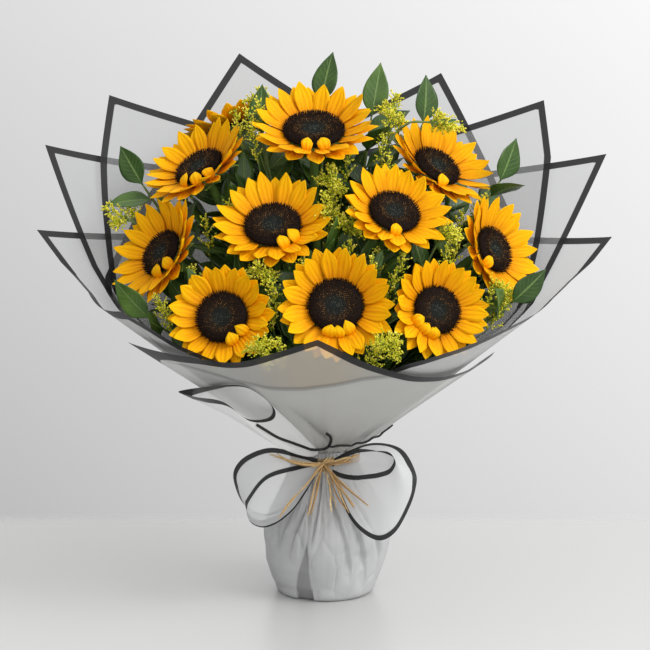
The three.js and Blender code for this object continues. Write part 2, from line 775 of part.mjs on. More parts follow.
// Petals stand in two rows, the front row steeper. Each is bent or shortened until it clears its neighbours,
// by the first of these pairs of extra curl in degrees and share of its length that does.
const FRONT_ROW = {
  rise: 27,
  curl: 15,
  tries: [[0, 1], [10, 1], [20, 0.97], [30, 0.93], [42, 0.9], [56, 0.86], [70, 0.8],
    [0, 0.85], [0, 0.7], [0, 0.5]],
};
const BACK_ROW = {
  rise: 15,
  curl: 11,
  tries: [[0, 1], [0, 0.93], [-10, 0.95], [8, 0.95], [-20, 0.9],
    [0, 0.86], [0, 0.78], [0, 0.7], [0, 0.6], [0, 0.45]],
};

// Degrees by which the petals at the top of a bloom stand up more, and those at the bottom less
const UPPER_RISE = 7;

blooms.forEach((bloom, i) => {
  const random = seededRandom(100 + i);
  const radius = bloom.disc + 1.2;
  const { place } = frames[i];
  const others = [...placed];
  const own = [];
  const petals = [];
  for (let k = 0; k < BLOOM.petals; k += 1) {
    const row = k % 2 === 1 ? FRONT_ROW : BACK_ROW;
    const look = {
      angle: (2 * Math.PI * (k + 0.24 * (random() - 0.5))) / BLOOM.petals,
      width: BLOOM.petalWidth * Math.sqrt(bloom.disc / 26),
      rise: radians(row.rise + UPPER_RISE * Math.sin((2 * Math.PI * k) / BLOOM.petals)),
      twist: 0.12 * (random() - 0.5),
    };
    const size = bloom.petal * (0.95 + 0.12 * random());
    let rings = null;
    for (const [bend, share] of row.tries) {
      const shape = { ...look, length: size * share, curl: radians(row.curl + bend) };
      rings = petalRings(place, shape, radius);
      const root = petalRoot(place, radius, k).map((corner, j) => corner.lerp(rings[0][j], 0.25));
      const probe = loft([root, ...rings]);
      if (isClear(probe, SEAT_GAP, others) && isClear(probe, 0.05, own)) {
        own.push({ solid: probe, box: probe.boundingBox() });
        break;
      }
    }
    petals.push(rings);
  }
  addPiece(flowers, `petals_${number(i)}`, settle(petalCrown(place, radius, petals)), "#f6b516", 0.55);
});

// Foliage
const foliage = new THREE.Group();
bunch.add(foliage);

const jitter = (random, size) => point(random() - 0.5, random() - 0.5, random() - 0.5).multiplyScalar(size);

// First of a set of seeded routes from the tie to a tip that clears everything in place
function clearRoute(slot, tip, radius, random) {
  const arriving = tip.clone().sub(point(0, 0, TIE.high)).normalize();
  for (let attempt = 0; attempt < 240; attempt += 1) {
    const spread = attempt * 0.5;
    const sway = jitter(random, spread);
    const shift = jitter(random, spread * 0.4);
    const path = stemPath(slot, tip.clone().add(shift), arriving, sway);
    const stem = bar(path, path.map(() => radius), 4);
    if (isClear(stem, SEAT_GAP)) {
      drillFor(path, radius, 4);
      return { path, stem, arriving };
    }
  }
  throw new Error("no clear way from the tie to a tip");
}

// Pointed leaf on a short stalk, from a root on the stem
function leafBlade(root, along, facing, length, width) {
  const half = LEAF.thickness / 2;
  const side = along.clone().cross(facing).normalize();
  const up = side.clone().cross(along).normalize();
  const stations = [[0, 0], [0.32, 0.92], [0.66, 0.8], [1, 0]];
  return loft(stations.map(([share, spread]) => {
    const centre = root.clone()
      .addScaledVector(along, length * share)
      .addScaledVector(up, -length * LEAF.droop * share * share);
    if (spread === 0) {
      return [centre];
    }
    const reach = (width * spread) / 2;
    const fold = LEAF.fold * spread;
    return [
      centre.clone().addScaledVector(side, -reach).addScaledVector(up, fold),
      centre.clone().addScaledVector(up, -half),
      centre.clone().addScaledVector(side, reach).addScaledVector(up, fold),
      centre.clone().addScaledVector(up, half),
    ];
  }));
}

function alongPath(path, distanceFromTip) {
  let left = distanceFromTip;
  for (let k = path.length - 1; k > 0; k -= 1) {
    const length = path[k].distanceTo(path[k - 1]);
    if (left <= length) {
      return {
        at: path[k].clone().lerp(path[k - 1], left / length),
        along: path[k].clone().sub(path[k - 1]).normalize(),
      };
    }
    left -= length;
  }
  return { at: path[0].clone(), along: point(0, 0, 1) };
}

// Leaves turn their faces away from the heart of the bunch, and a little to the front
const BUNCH_HEART = point(0, 60, 260);

function leafyStem(tipMark, slot, seed) {
  const random = seededRandom(seed);
  const route = clearRoute(slot, point(...tipMark), LEAF_STEM, random);
  const leaves = [];
  for (let k = 0; k < LEAF.count; k += 1) {
    const { at, along } = alongPath(route.path, 1 + k * LEAF.spacing);
    const outlook = at.clone().sub(BUNCH_HEART).normalize().add(point(0, -0.4, 0.2)).normalize();
    const start = 2.4 * k + random();
    let found = null;
    for (let attempt = 0; attempt < 30 && found === null; attempt += 1) {
      const round = start + attempt * 0.7;
      const side = along.clone().cross(point(Math.sin(seed), Math.cos(seed), 0.3)).normalize()
        .applyAxisAngle(along, round);
      const lean = k === 0 ? 0.15 : 0.75 + 0.25 * random();
      const ahead = along.clone().multiplyScalar(Math.cos(lean)).addScaledVector(side, Math.sin(lean));
      const shrink = attempt < 14 ? 1 : 0.72;
      const length = THREE.MathUtils.lerp(LEAF.shortest, LEAF.longest, random());
      const leaf = leafBlade(at, ahead, outlook, length * shrink, LEAF.width * shrink);
      const own = leaves.map((solid) => ({ solid, box: solid.boundingBox() }));
      if (isClear(leaf, LEAF_GAP) && isClear(leaf, 0.2, own)) {
        found = leaf;
      }
    }
    if (found !== null) {
      leaves.push(found);
    }
  }
  return joined([route.stem, ...leaves]);
}

leafyTips.forEach((tip, i) => {
  const solid = leafyStem(tip, slots[blooms.length + i], 40 + i);
  addPiece(foliage, `leafy_stem_${number(i)}`, settle(solid), "#2f5a24", 0.35);
});

// Beaded side shoot of goldenrod: small florets strung along a curved stalk
function beadedShoot(root, along, length, droop) {
  const path = PLUME.radii.map((_, k) => {
    const share = k / (PLUME.radii.length - 1);
    return root.clone().addScaledVector(along, length * share).add(point(0, 0, -droop * share * share));
  });
  return bar(path, PLUME.radii, 4);
}

// Shoot that carries on from a stalk's end, and side shoots round the stalk just below it
function plume(root, along, random) {
  const shoots = [];
  for (let attempt = 0; attempt < 16 && shoots.length === 0; attempt += 1) {
    const ahead = along.clone().add(jitter(random, 0.07 * attempt)).normalize();
    const from = root.clone().addScaledVector(along, -PLUME.step);
    const tip = beadedShoot(from, ahead, PLUME.tipLength - attempt, 2);
    if (isClear(tip, SEAT_GAP)) {
      shoots.push(tip);
    }
  }
  for (let k = 0; k < PLUME.sideShoots; k += 1) {
    for (let attempt = 0; attempt < 12; attempt += 1) {
      const side = along.clone().cross(point(0.3, 0.2, 1)).normalize()
        .applyAxisAngle(along, 2.1 * k + attempt * 0.5 + random());
      const ahead = along.clone().multiplyScalar(0.62).addScaledVector(side, 0.78);
      const at = root.clone().addScaledVector(along, -2.5 - PLUME.step * k);
      const shoot = beadedShoot(at, ahead, PLUME.sideLength - 1.5 * k, 3);
      const others = shoots.slice(1).map((solid) => ({ solid, box: solid.boundingBox() }));
      if (isClear(shoot, SEAT_GAP) && isClear(shoot, 0.1, others)) {
        shoots.push(shoot);
        break;
      }
    }
  }
  return shoots;
}

// Side stalk from a point on the stem to the second plume
function sideStalk(path, sideTip, random) {
  for (let attempt = 0; attempt < 300; attempt += 1) {
    const from = path[3 + (attempt % 3)].clone();
    const end = sideTip.clone().add(jitter(random, attempt * 0.25));
    const arch = point(0, 0, 0.4).add(jitter(random, 1)).multiplyScalar(6 + attempt * 0.4);
    const middle = from.clone().lerp(end, 0.5).add(arch);
    const route = new THREE.QuadraticBezierCurve3(from, middle, end).getPoints(3);
    const stalk = bar(route, [0.8, 1, 1, 1], 4);
    if (isClear(stalk, SEAT_GAP)) {
      return { stalk, end, arriving: end.clone().sub(route[2]).normalize() };
    }
  }
  throw new Error("no clear way for a side stalk");
}

function spray([tipMark, sideMark], slot, seed) {
  const random = seededRandom(seed);
  const route = clearRoute(slot, point(...tipMark), SPRAY_STEM, random);
  const end = route.path[route.path.length - 1];
  const last = end.clone().sub(route.path[route.path.length - 2]).normalize();
  const top = plume(end, last, random);
  const side = sideStalk(route.path, point(...sideMark), random);
  return joined([route.stem, ...top, side.stalk, ...plume(side.end, side.arriving, random)]);
}

sprayTips.forEach((tips, i) => {
  const solid = spray(tips, slots[blooms.length + leafyTips.length + i], 70 + i);
  addPiece(foliage, `goldenrod_${number(i)}`, settle(solid), "#c3b22e", 0.8);
});

// Water pouch inside the foot, with a plain hole for each stem
function waterPouch() {
  const margin = FOOT.wall + FOOT.pleatDepth + 0.8;
  const rings = [];
  const [floorRadius] = FOOT.profile[0];
  rings.push(levelRing(floorRadius - margin, WATER.bottom, WATER.sides));
  FOOT.profile.forEach(([radius, height]) => {
    if (height > 0 && height < WATER.level) {
      rings.push(levelRing(radius - margin, height, WATER.sides));
    }
  });
  rings.push(levelRing(WATER.shoulder - margin, WATER.level, WATER.sides));
  return waterHoles.reduce((pouch, hole) => pouch.subtract(hole), loft(rings));
}
addPiece(wrapping, "water_pouch", waterPouch(), "#dfe8ea", 0.15);

export default bunch;
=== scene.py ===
import math
import random

import bpy
import numpy as np
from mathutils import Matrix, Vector, noise
from mathutils.bvhtree import BVHTree


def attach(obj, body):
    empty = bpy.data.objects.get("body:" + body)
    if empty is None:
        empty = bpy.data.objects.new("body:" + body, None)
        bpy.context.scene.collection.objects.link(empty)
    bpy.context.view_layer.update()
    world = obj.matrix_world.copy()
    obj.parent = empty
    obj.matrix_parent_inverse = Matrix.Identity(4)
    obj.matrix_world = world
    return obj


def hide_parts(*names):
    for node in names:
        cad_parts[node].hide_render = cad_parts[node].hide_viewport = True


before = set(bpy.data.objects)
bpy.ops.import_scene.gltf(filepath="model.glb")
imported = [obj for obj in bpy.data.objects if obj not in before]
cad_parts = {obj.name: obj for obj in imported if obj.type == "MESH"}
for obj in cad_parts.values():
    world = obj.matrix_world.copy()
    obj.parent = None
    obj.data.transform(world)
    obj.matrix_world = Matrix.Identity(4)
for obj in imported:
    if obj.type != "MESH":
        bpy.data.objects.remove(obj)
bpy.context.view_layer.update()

# Camera, floor and light
# The photograph was taken a little from above and from some way off, in soft daylight, on a pale floor that
# meets a pale wall. The wall is the world's own colour, so that nothing stands behind the bunch.
MM = 0.001
CAMERA_TILT = math.radians(9)
CAMERA_DISTANCE = 2.2
LOOKED_AT = Vector((0, 0, 0.268))
FRAME_WIDTH = 0.641
SENSOR = 36
FLOOR_SIZE = 4
FLOOR_END = 0.29
FLOOR_FADE = 0.03
FLOOR_LEVEL = -0.0006
FLOOR_SHADING = (-1.2, 0.3)
FLOOR_GREYS = [(0, (0.565, 0.565, 0.56)), (1, (0.55, 0.55, 0.545))]
WALL_GREY = 0.85
LIGHT_RIGHTWARD = 0.78
LIGHT_UPWARD = 0.95
LOWEST_VIEW = -0.34
WALL_DARKEST = 0.16
WALL_BRIGHTEST = 1.0
LAMPS = {"key_light": ((1.5, -0.9, 1.7), 0.9, 27), "fill_light": ((0.3, -2, 0.8), 1.2, 6)}
LAMPS_AIM = Vector((0, 0, 0.3))
MIX_SOCKETS = (0, 6, 7)
MIX_COLOUR = 2
CLOUD_DARK = 0.3
CLOUD_LIGHT = 0.7

camera_data = bpy.data.cameras.new("camera")
camera_data.sensor_width = SENSOR
camera_data.lens = SENSOR * CAMERA_DISTANCE / FRAME_WIDTH
camera = bpy.data.objects.new("camera", camera_data)
back_off = Vector((0, -math.cos(CAMERA_TILT), math.sin(CAMERA_TILT))) * CAMERA_DISTANCE
camera.location = LOOKED_AT + back_off
camera.rotation_euler = (math.pi / 2 - CAMERA_TILT, 0, 0)
bpy.context.scene.collection.objects.link(camera)
bpy.context.scene.camera = camera
bpy.context.scene.view_settings.view_transform = "Standard"


class Wire:
    """A socket of a node, which Python's own signs for sums and products lead on."""

    def __init__(self, web, socket):
        self.web = web
        self.socket = socket

    def led(self, operation, *values):
        return self.web.node("ShaderNodeMath", "Value", {"operation": operation}, dict(enumerate(values)))

    def __add__(self, other):
        return self.led("ADD", self, other)

    __radd__ = __add__

    def __mul__(self, other):
        return self.led("MULTIPLY", self, other)

    __rmul__ = __mul__

    def __sub__(self, other):
        return self.led("SUBTRACT", self, other)

    def __rsub__(self, other):
        return self.led("SUBTRACT", other, self)

    def __pow__(self, other):
        return self.led("POWER", self, other)

    def sine(self):
        return self.led("SINE", self)

    def size(self):
        return self.led("ABSOLUTE", self)

    def least(self, other):
        return self.led("MINIMUM", self, other)

    def most(self, other):
        return self.led("MAXIMUM", self, other)

    def step(self, low, high):
        """0 below low, 1 above high and smooth between them."""
        sockets = {"Value": self, "From Min": low, "From Max": high}
        return self.web.node("ShaderNodeMapRange", "Result", {"interpolation_type": "SMOOTHSTEP"}, sockets)


class Web:
    """The nodes of a material or of the world."""

    def __init__(self, tree):
        self.tree = tree

    def node(self, kind, output, settings=(), inputs=()):
        """A new node's output. Its settings are set first, then the values or links of its sockets."""
        made = self.tree.nodes.new(kind)
        for place, value in dict(settings).items():
            if place == "stops":
                marks = made.color_ramp.elements
                while len(marks) < len(value):
                    marks.new(1)
                for mark, (position, colour) in zip(marks, value):
                    mark.position = position
                    mark.color = (*colour, 1)
            else:
                setattr(made, place, value)
        for place, value in dict(inputs).items():
            if isinstance(value, Wire):
                self.tree.links.new(value.socket, made.inputs[place])
            else:
                made.inputs[place].default_value = value
        return Wire(self, made.outputs[output])


class Finish(Web):
    """A material on one Principled shader, with its other nodes added one by one."""

    def __init__(self, name, **constants):
        self.material = bpy.data.materials.new(name)
        self.material.use_nodes = True
        super().__init__(self.material.node_tree)
        self.shader = self.tree.nodes["Principled BSDF"]
        for place, value in constants.items():
            self.shader.inputs[place.replace("_", " ").title().replace("Ior", "IOR")].default_value = value

    def object_place(self):
        return self.node("ShaderNodeTexCoord", "Object")

    def attribute(self, name):
        return self.node("ShaderNodeAttribute", "Fac", {"attribute_name": name})

    def noise(self, vector, scale, detail):
        sockets = {"Vector": vector, "Scale": scale, "Detail": detail}
        return self.node("ShaderNodeTexNoise", "Fac", (), sockets)

    def stretched(self, vector, scale):
        return self.node("ShaderNodeMapping", "Vector", (), {"Vector": vector, "Scale": scale})

    def blend(self, share, low, high):
        """A colour between two, each a colour or a wire."""
        colours = [value if isinstance(value, Wire) else (*value, 1) for value in (low, high)]
        sockets = dict(zip(MIX_SOCKETS, (share, *colours)))
        return self.node("ShaderNodeMix", MIX_COLOUR, {"data_type": "RGBA"}, sockets)

    def ramp(self, share, stops):
        return self.node("ShaderNodeValToRGB", "Color", {"stops": stops}, {"Fac": share})

    def clouded(self, cloud, dark, light):
        """A colour that drifts between two with a noise."""
        return self.ramp(cloud, [(CLOUD_DARK, dark), (CLOUD_LIGHT, light)])

    def bump(self, height, strength, distance):
        sockets = {"Height": height, "Strength": strength, "Distance": distance}
        return self.node("ShaderNodeBump", "Normal", (), sockets)

    def drive(self, place, wire):
        self.tree.links.new(wire.socket, self.shader.inputs[place])


def painted(piece, finish):
    piece.data.materials.clear()
    piece.data.materials.append(finish.material)


floor_finish = Finish("pale_floor", roughness=0.35)
floor_depth = floor_finish.node("ShaderNodeSeparateXYZ", "Y", (), {"Vector": floor_finish.object_place()})
floor_finish.drive("Alpha", 1 - floor_depth.step(FLOOR_END - FLOOR_FADE, FLOOR_END + FLOOR_FADE))
floor_finish.drive("Base Color", floor_finish.ramp(floor_depth.step(*FLOOR_SHADING), FLOOR_GREYS))
floor_middle = FLOOR_END + FLOOR_FADE - FLOOR_SIZE / 2
bpy.ops.object.select_all(action="DESELECT")
bpy.ops.mesh.primitive_plane_add(size=FLOOR_SIZE, location=(0, floor_middle, FLOOR_LEVEL))
floor = bpy.context.object
floor.name = "floor"
bpy.ops.object.transform_apply()
painted(floor, floor_finish)

world = bpy.data.worlds.new("studio")
bpy.context.scene.world = world
world.use_nodes = True
sky = world.node_tree.nodes["Background"]
wall = Web(world.node_tree)
looking = wall.node("ShaderNodeTexCoord", "Generated")
rightward, upward = [wall.node("ShaderNodeSeparateXYZ", axis, (), {0: looking}) for axis in ("X", "Z")]
wall_light = WALL_GREY + rightward * LIGHT_RIGHTWARD + upward.most(LOWEST_VIEW) * LIGHT_UPWARD
wall_light = wall_light.most(WALL_DARKEST).least(WALL_BRIGHTEST)
world.node_tree.links.new(wall_light.socket, sky.inputs["Strength"])
sky.inputs["Color"].default_value = (1, 1, 1, 1)

for name, (place, size, power) in LAMPS.items():
    light = bpy.data.lights.new(name, "AREA")
    light.size = size
    light.energy = power
    lamp = bpy.data.objects.new(name, light)
    lamp.location = place
    lamp.rotation_mode = "QUATERNION"
    lamp.rotation_quaternion = (LAMPS_AIM - Vector(place)).to_track_quat("-Z", "Y")
    bpy.context.scene.collection.objects.link(lamp)


# Sunflower stems
# Each bloom stands on a green stem about 8 mm thick, which widens into a cup behind the disc. Two rings of
# pointed green bracts grow from the cup. All the stems pass the tie and go on down into the foot.
TIE_LOW = 132
TIE_HIGH = 146
STEM_FOOT = 14
STEM_SPREAD = 1.7
STEM_RADIUS = 4.2
STEM_SIDES = 18
STEM_STEPS = 18
STEM_LEAVES_TIE = 0.2
STEM_RISE = 0.06
STEM_BEND = 0.22
BLOOM_SINK = 4
CUP_TOP = -6.85
CUP_DEPTH = 16
CUP_START = (STEM_RADIUS + 1.2, -13)
CUP_RINGS = [(0.34, -10.4), (0.62, -7.6), (0.82, -3.4), (0.93, 1.2), (0.9, 2.6)]
CUP_LIGHT = 0.6
BLADE_THINNING = 0.6
BRACT_LENGTH = 21
BRACT_WIDTH = 9.5
BRACT_THICKNESS = 0.56
BRACT_ROOT = (0.8, -4)
BRACT_RISE = 5.5
BRACT_CUPPING = 0.9
BRACT_STRAY = 0.18
BRACT_LENGTHS = (0.85, 1.1)
BRACT_WIDTHS = (0.85, 1.15)
BRACT_CURLS = (-0.35, 0.15)
BRACT_ROWS = [(13, 1.0, 1.6), (12, 0.86, -1.6)]
BRACT_SHORTENING = 0.12
BRACT_LIGHTS = (0.75, 0.5, 0.25)
BRACT_OUTLINE = ([0, 0.25, 0.5, 0.75, 1], [0.75, 1, 0.8, 0.42, 0.03])


def unit(vector):
    return vector / np.linalg.norm(vector)


def units(vectors):
    return vectors / np.linalg.norm(vectors, axis=1)[:, None]


def all_round(count):
    """Angles that share out a full turn."""
    return np.linspace(0, 2 * math.pi, count, endpoint=False)


class Bloom:
    """Where a bloom sits, the way it faces, its disc's radius, and where small petals curl over the disc."""

    def __init__(self, number, at, faces, disc, curled):
        self.number = number
        self.disc = disc
        self.curled = curled
        self.axis = unit(np.array(faces, float))
        self.across = unit(np.cross((0, 0, 1), self.axis))
        self.up_face = np.cross(self.axis, self.across)
        self.back = np.array(at, float) - BLOOM_SINK * self.axis

    def place(self, points):
        """Places in the bunch of points that are given across, up and out from the bloom's face."""
        x, y, height = points[..., :1], points[..., 1:2], points[..., 2:]
        return self.back + x * self.across + y * self.up_face + height * self.axis

    def own(self, points):
        """Points of the bunch, measured across, up and out from the bloom's face."""
        away = points - self.back
        return np.stack([away @ self.across, away @ self.up_face, away @ self.axis], -1)

    def turned(self, angle, reach, level, side=0.0):
        """Points at a reach from the axis, along the direction at an angle round the face."""
        return self.place(np.stack([
            reach * np.cos(angle) + side * np.sin(angle),
            reach * np.sin(angle) - side * np.cos(angle),
            level + 0 * reach * angle,
        ], -1))


blooms = [
    Bloom("01", (-11, 10, 462), (0, -0.5, 0.87), 30, [-101, -72]),
    Bloom("02", (-125, 15, 425), (-0.44, -0.41, 0.8), 25, [-50, -80, -20]),
    Bloom("03", (112, 20, 425), (0.46, -0.46, 0.76), 24.5, [-120]),
    Bloom("04", (-160, -32, 345), (-0.67, -0.53, 0.52), 23.5, [-25, -60]),
    Bloom("05", (-50, -60, 376), (-0.06, -0.64, 0.76), 27, [-38, -62]),
    Bloom("06", (67, -58, 388), (0.23, -0.63, 0.74), 25, [-105]),
    Bloom("07", (166, -25, 347), (0.72, -0.57, 0.39), 23, [-150]),
    Bloom("08", (-97, -112, 294), (-0.19, -0.9, 0.39), 24.5, [-30, -60]),
    Bloom("09", (10, -120, 306), (0, -0.91, 0.41), 26, [-62, -84, -104]),
    Bloom("10", (106, -110, 300), (0.35, -0.87, 0.34), 23, [204, 226, 246]),
    Bloom("11", (-96, 104, 462), (-0.3, 0.2, 0.93), 24, []),
]


def points_and_corners(mesh):
    """A mesh's points, and the corners of its faces, one face after another."""
    points = np.empty(len(mesh.vertices) * 3)
    mesh.vertices.foreach_get("co", points)
    corners = np.empty(len(mesh.loops), np.int32)
    mesh.loops.foreach_get("vertex_index", corners)
    return points.reshape(-1, 3), corners


def solid_of(name):
    """A node's points in millimetres and its triangles, with the corners that its faces share merged."""
    points, corners = points_and_corners(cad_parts[name].data)
    points = points / MM
    _, first, which = np.unique(np.round(points, 3), axis=0, return_index=True, return_inverse=True)
    return points[first], which.reshape(-1)[corners].reshape(-1, 3)


def bar_rings(path, radii, sides):
    """Rings of a round bar of changing radius along a path."""
    side = np.array([1.0, 0.0, 0.0])
    turn = all_round(sides)[:, None]
    rings = []
    for centre, ahead, radius in zip(path, units(np.gradient(path, axis=0)), radii):
        side = unit(side - ahead * (side @ ahead))
        rings.append(centre + radius * (np.cos(turn) * side + np.sin(turn) * np.cross(ahead, side)))
    return np.array(rings)


def smooth_piece(name, mesh, measures):
    """A smooth object of a mesh, which keeps a number or more at each of its points."""
    for label, values in measures.items():
        kept = mesh.attributes.new(label, "FLOAT", "POINT")
        kept.data.foreach_set("value", np.asarray(values, np.float32).ravel())
    mesh.shade_smooth()
    piece = bpy.data.objects.new(name, mesh)
    bpy.context.scene.collection.objects.link(piece)
    return piece


def woven(name, grid, measures, closed=False, capped=False):
    """A piece over a grid of points in millimetres."""
    rows, columns = grid.shape[:2]
    faces = []
    for i in range(rows - 1):
        for j in range(columns if closed else columns - 1):
            k = (j + 1) % columns
            faces.append((i * columns + j, i * columns + k, (i + 1) * columns + k, (i + 1) * columns + j))
    if capped:
        faces.append(tuple(range(columns))[::-1])
        faces.append(tuple(range((rows - 1) * columns, rows * columns)))
    mesh = bpy.data.meshes.new(name)
    mesh.from_pydata((grid.reshape(-1, 3) * MM).tolist(), [], faces)
    return smooth_piece(name, mesh, measures)


def shape_of(piece):
    """A modelled shape's points, its corners and where its faces start. The piece itself is put away."""
    points, corners = points_and_corners(piece.data)
    starts = np.empty(len(piece.data.polygons), np.int32)
    piece.data.polygons.foreach_get("loop_start", starts)
    bpy.data.objects.remove(piece)
    return points, corners, starts


def grown(name, shape, copies, measures):
    """One piece of many copies of a shape, each with its own points in millimetres.

    A measure holds a number for each copy, or as many numbers as the shape has points.
    """
    _, corners, starts = shape
    number, count = len(copies), len(copies[0])
    steps = np.arange(number, dtype=np.int32)[:, None]
    mesh = bpy.data.meshes.new(name)
    mesh.vertices.add(number * count)
    mesh.vertices.foreach_set("co", (np.concatenate(copies) * MM).astype(np.float32).ravel())
    mesh.loops.add(number * len(corners))
    mesh.loops.foreach_set("vertex_index", (corners[None] + count * steps).ravel())
    mesh.polygons.add(number * len(starts))
    mesh.polygons.foreach_set("loop_start", (starts[None] + len(corners) * steps).ravel())
    mesh.update(calc_edges=True)
    return smooth_piece(name, mesh, {
        label: [np.broadcast_to(value, count) for value in values] for label, values in measures.items()
    })


def alone(piece):
    """Select and activate one piece, and nothing else."""
    bpy.ops.object.select_all(action="DESELECT")
    piece.select_set(True)
    bpy.context.view_layer.objects.active = piece


def joined(*parts):
    alone(parts[0])
    for part in parts[1:]:
        part.select_set(True)
    bpy.ops.object.join()
    return parts[0]


def stands_for(piece, node):
    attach(piece, "root")
    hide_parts(node)


def blade_shape(across, along):
    """A flat closed blade, two units wide, long and thick, to bend into petals, bracts and leaves."""
    bpy.ops.object.select_all(action="DESELECT")
    bpy.ops.mesh.primitive_grid_add(x_subdivisions=across, y_subdivisions=along, size=2)
    piece = bpy.context.object
    wall = piece.modifiers.new("thickness", "SOLIDIFY")
    wall.thickness = 2
    wall.offset = 0
    bpy.ops.object.modifier_apply(modifier=wall.name)
    return shape_of(piece)


def blade_measures(flat):
    """How far a blade's points are to the side, their share of its length, and which face they are on."""
    return flat[:, 0], (flat[:, 1] + 1) / 2, flat[:, 2]


def thinned(side):
    """Share of its thickness that a blade keeps towards its sides."""
    return 1 - BLADE_THINNING * side ** 2


bract_shape = blade_shape(4, 7)

stem_finish = Finish("stem_green", roughness=0.55, specular_ior_level=0.35)
stem_place = stem_finish.object_place()
stem_cloud = stem_finish.noise(stem_place, 60, 3)
stem_finish.drive("Base Color", stem_finish.blend(
    stem_finish.attribute("light"),
    stem_finish.clouded(stem_cloud, (0.09, 0.17, 0.03), (0.16, 0.27, 0.05)),
    stem_finish.clouded(stem_cloud, (0.22, 0.34, 0.06), (0.38, 0.48, 0.13)),
))
stem_bristle = stem_finish.noise(stem_finish.stretched(stem_place, (1, 1, 0.3)), 700, 2)
stem_finish.drive("Normal", stem_finish.bump(stem_bristle, 0.35, 0.0012))


def curve_points(places, share):
    """Points on the curve that four places guide, the outer two at its ends."""
    a, b, c, d = [np.array(place, float) for place in places]
    t = share[:, None]
    return a * (1 - t) ** 3 + 3 * b * t * (1 - t) ** 2 + 3 * c * t * t * (1 - t) + d * t ** 3


def stem_and_cup(bloom):
    """A stem from the foot through the tie up to its bloom, where it widens into the cup."""
    points, _ = solid_of("stem_" + bloom.number)
    slot = points[np.abs(points[:, 2] - TIE_LOW) < 1].mean(0)[:2]
    high = np.array([*slot, TIE_HIGH])
    end = bloom.place(np.array([0, 0, CUP_TOP - CUP_DEPTH]))
    reach = np.linalg.norm(end - high)
    leaving = high + (end - high) * STEM_LEAVES_TIE + np.array([0, 0, reach * STEM_RISE])
    bend = end - bloom.axis * reach * STEM_BEND
    path = np.concatenate([
        [[*(slot * STEM_SPREAD), STEM_FOOT], [*slot, TIE_LOW]],
        curve_points([high, leaving, bend, end], np.linspace(0, 1, STEM_STEPS)),
    ])
    rings = bar_rings(path, [STEM_RADIUS] * len(path), STEM_SIDES)
    first = bloom.own(rings[-1])[0]
    turn = math.atan2(first[1], first[0]) + all_round(STEM_SIDES)
    cup = [CUP_START, *[(bloom.disc * share, level) for share, level in CUP_RINGS]]
    cup_rings = [bloom.turned(turn, radius, CUP_TOP + level) for radius, level in cup]
    grid = np.concatenate([rings, cup_rings])
    light = np.zeros(grid.shape[:2])
    light[-len(cup):] = CUP_LIGHT
    return woven("sunflower_stem_" + bloom.number, grid, {"light": light}, closed=True, capped=True)


def bracts_of(bloom):
    """Two rings of pointed leaves that grow from the cup."""
    draw = random.Random("bracts " + bloom.number)
    side, share, face = blade_measures(bract_shape[0])
    spread = np.interp(share, *BRACT_OUTLINE)
    root, low = BRACT_ROOT
    copies = []
    for row, (count, size, lift) in enumerate(BRACT_ROWS):
        for k in range(count):
            angle = 2 * math.pi * (k + 0.5 * row + draw.uniform(-BRACT_STRAY, BRACT_STRAY)) / count
            length = BRACT_LENGTH * size * draw.uniform(*BRACT_LENGTHS)
            curl = draw.uniform(*BRACT_CURLS)
            width = BRACT_WIDTH * draw.uniform(*BRACT_WIDTHS) / 2
            out = bloom.disc * root + length * share * (1 - BRACT_SHORTENING * share)
            level = CUP_TOP + low + lift + BRACT_RISE * share + length * curl * share ** 2
            level = level + BRACT_CUPPING * side ** 2 * spread + face * BRACT_THICKNESS / 2 * thinned(side)
            copies.append(bloom.turned(angle, out, level, side * width * spread))
    root_light, tip_lighter, midrib_darker = BRACT_LIGHTS
    light = np.clip(root_light + tip_lighter * share - midrib_darker * (1 - np.abs(side)), 0, 1)
    return grown("bracts", bract_shape, copies, {"light": [light] * len(copies)})


def sunflower_stem(bloom):
    stem = joined(stem_and_cup(bloom), bracts_of(bloom))
    painted(stem, stem_finish)
    stands_for(stem, "stem_" + bloom.number)


for bloom in blooms:
    sunflower_stem(bloom)

# Discs
# The middle of a sunflower is a dish of several hundred dark florets set in spirals: bristly at the rim, a
# raised ring flecked with golden brown, and small tight buds in the dip.
DISC_PROFILE = ([0, 0.25, 0.46, 0.66, 0.86, 0.97, 1.0], [3.0, 3.0, 3.9, 5.2, 4.6, 2.4, 0.2])
DISC_GAP = 0.6
DISC_SIDES = 36
DISC_UNDERSIDE = (0.9, 0.1)
DISC_MIDDLE = 0.05
FLORETS_PER_AREA = 0.92
RIM_FLORETS = 3.4
RIM_SHARES = (0.97, 1.02)
BRISTLY_FROM = 0.5
BRISTLY_OVER = 0.4
BUD_LENGTH = 0.75
BRISTLE_LENGTH = 1.5
BRISTLE_LENGTHS = (0.7, 1.25)
BUD_THICKNESS = 0.9
BRISTLE_THINNING = 0.42
BUD_STANDS = 0.6
BUD_TIP_FROM = 0.2
BUD_TIP_WIDTH = 0.8
BUD_TIP_LIGHT = 0.3
RIM_STRAY = 0.3
FLORET_LEAN = (-0.25, 0.95)
FLORET_STRAY = 0.25
GOLDEN_ANGLE = math.pi * (3 - math.sqrt(5))

bpy.ops.object.select_all(action="DESELECT")
bpy.ops.mesh.primitive_uv_sphere_add(segments=4, ring_count=3, radius=1)
bud_shape = shape_of(bpy.context.object)

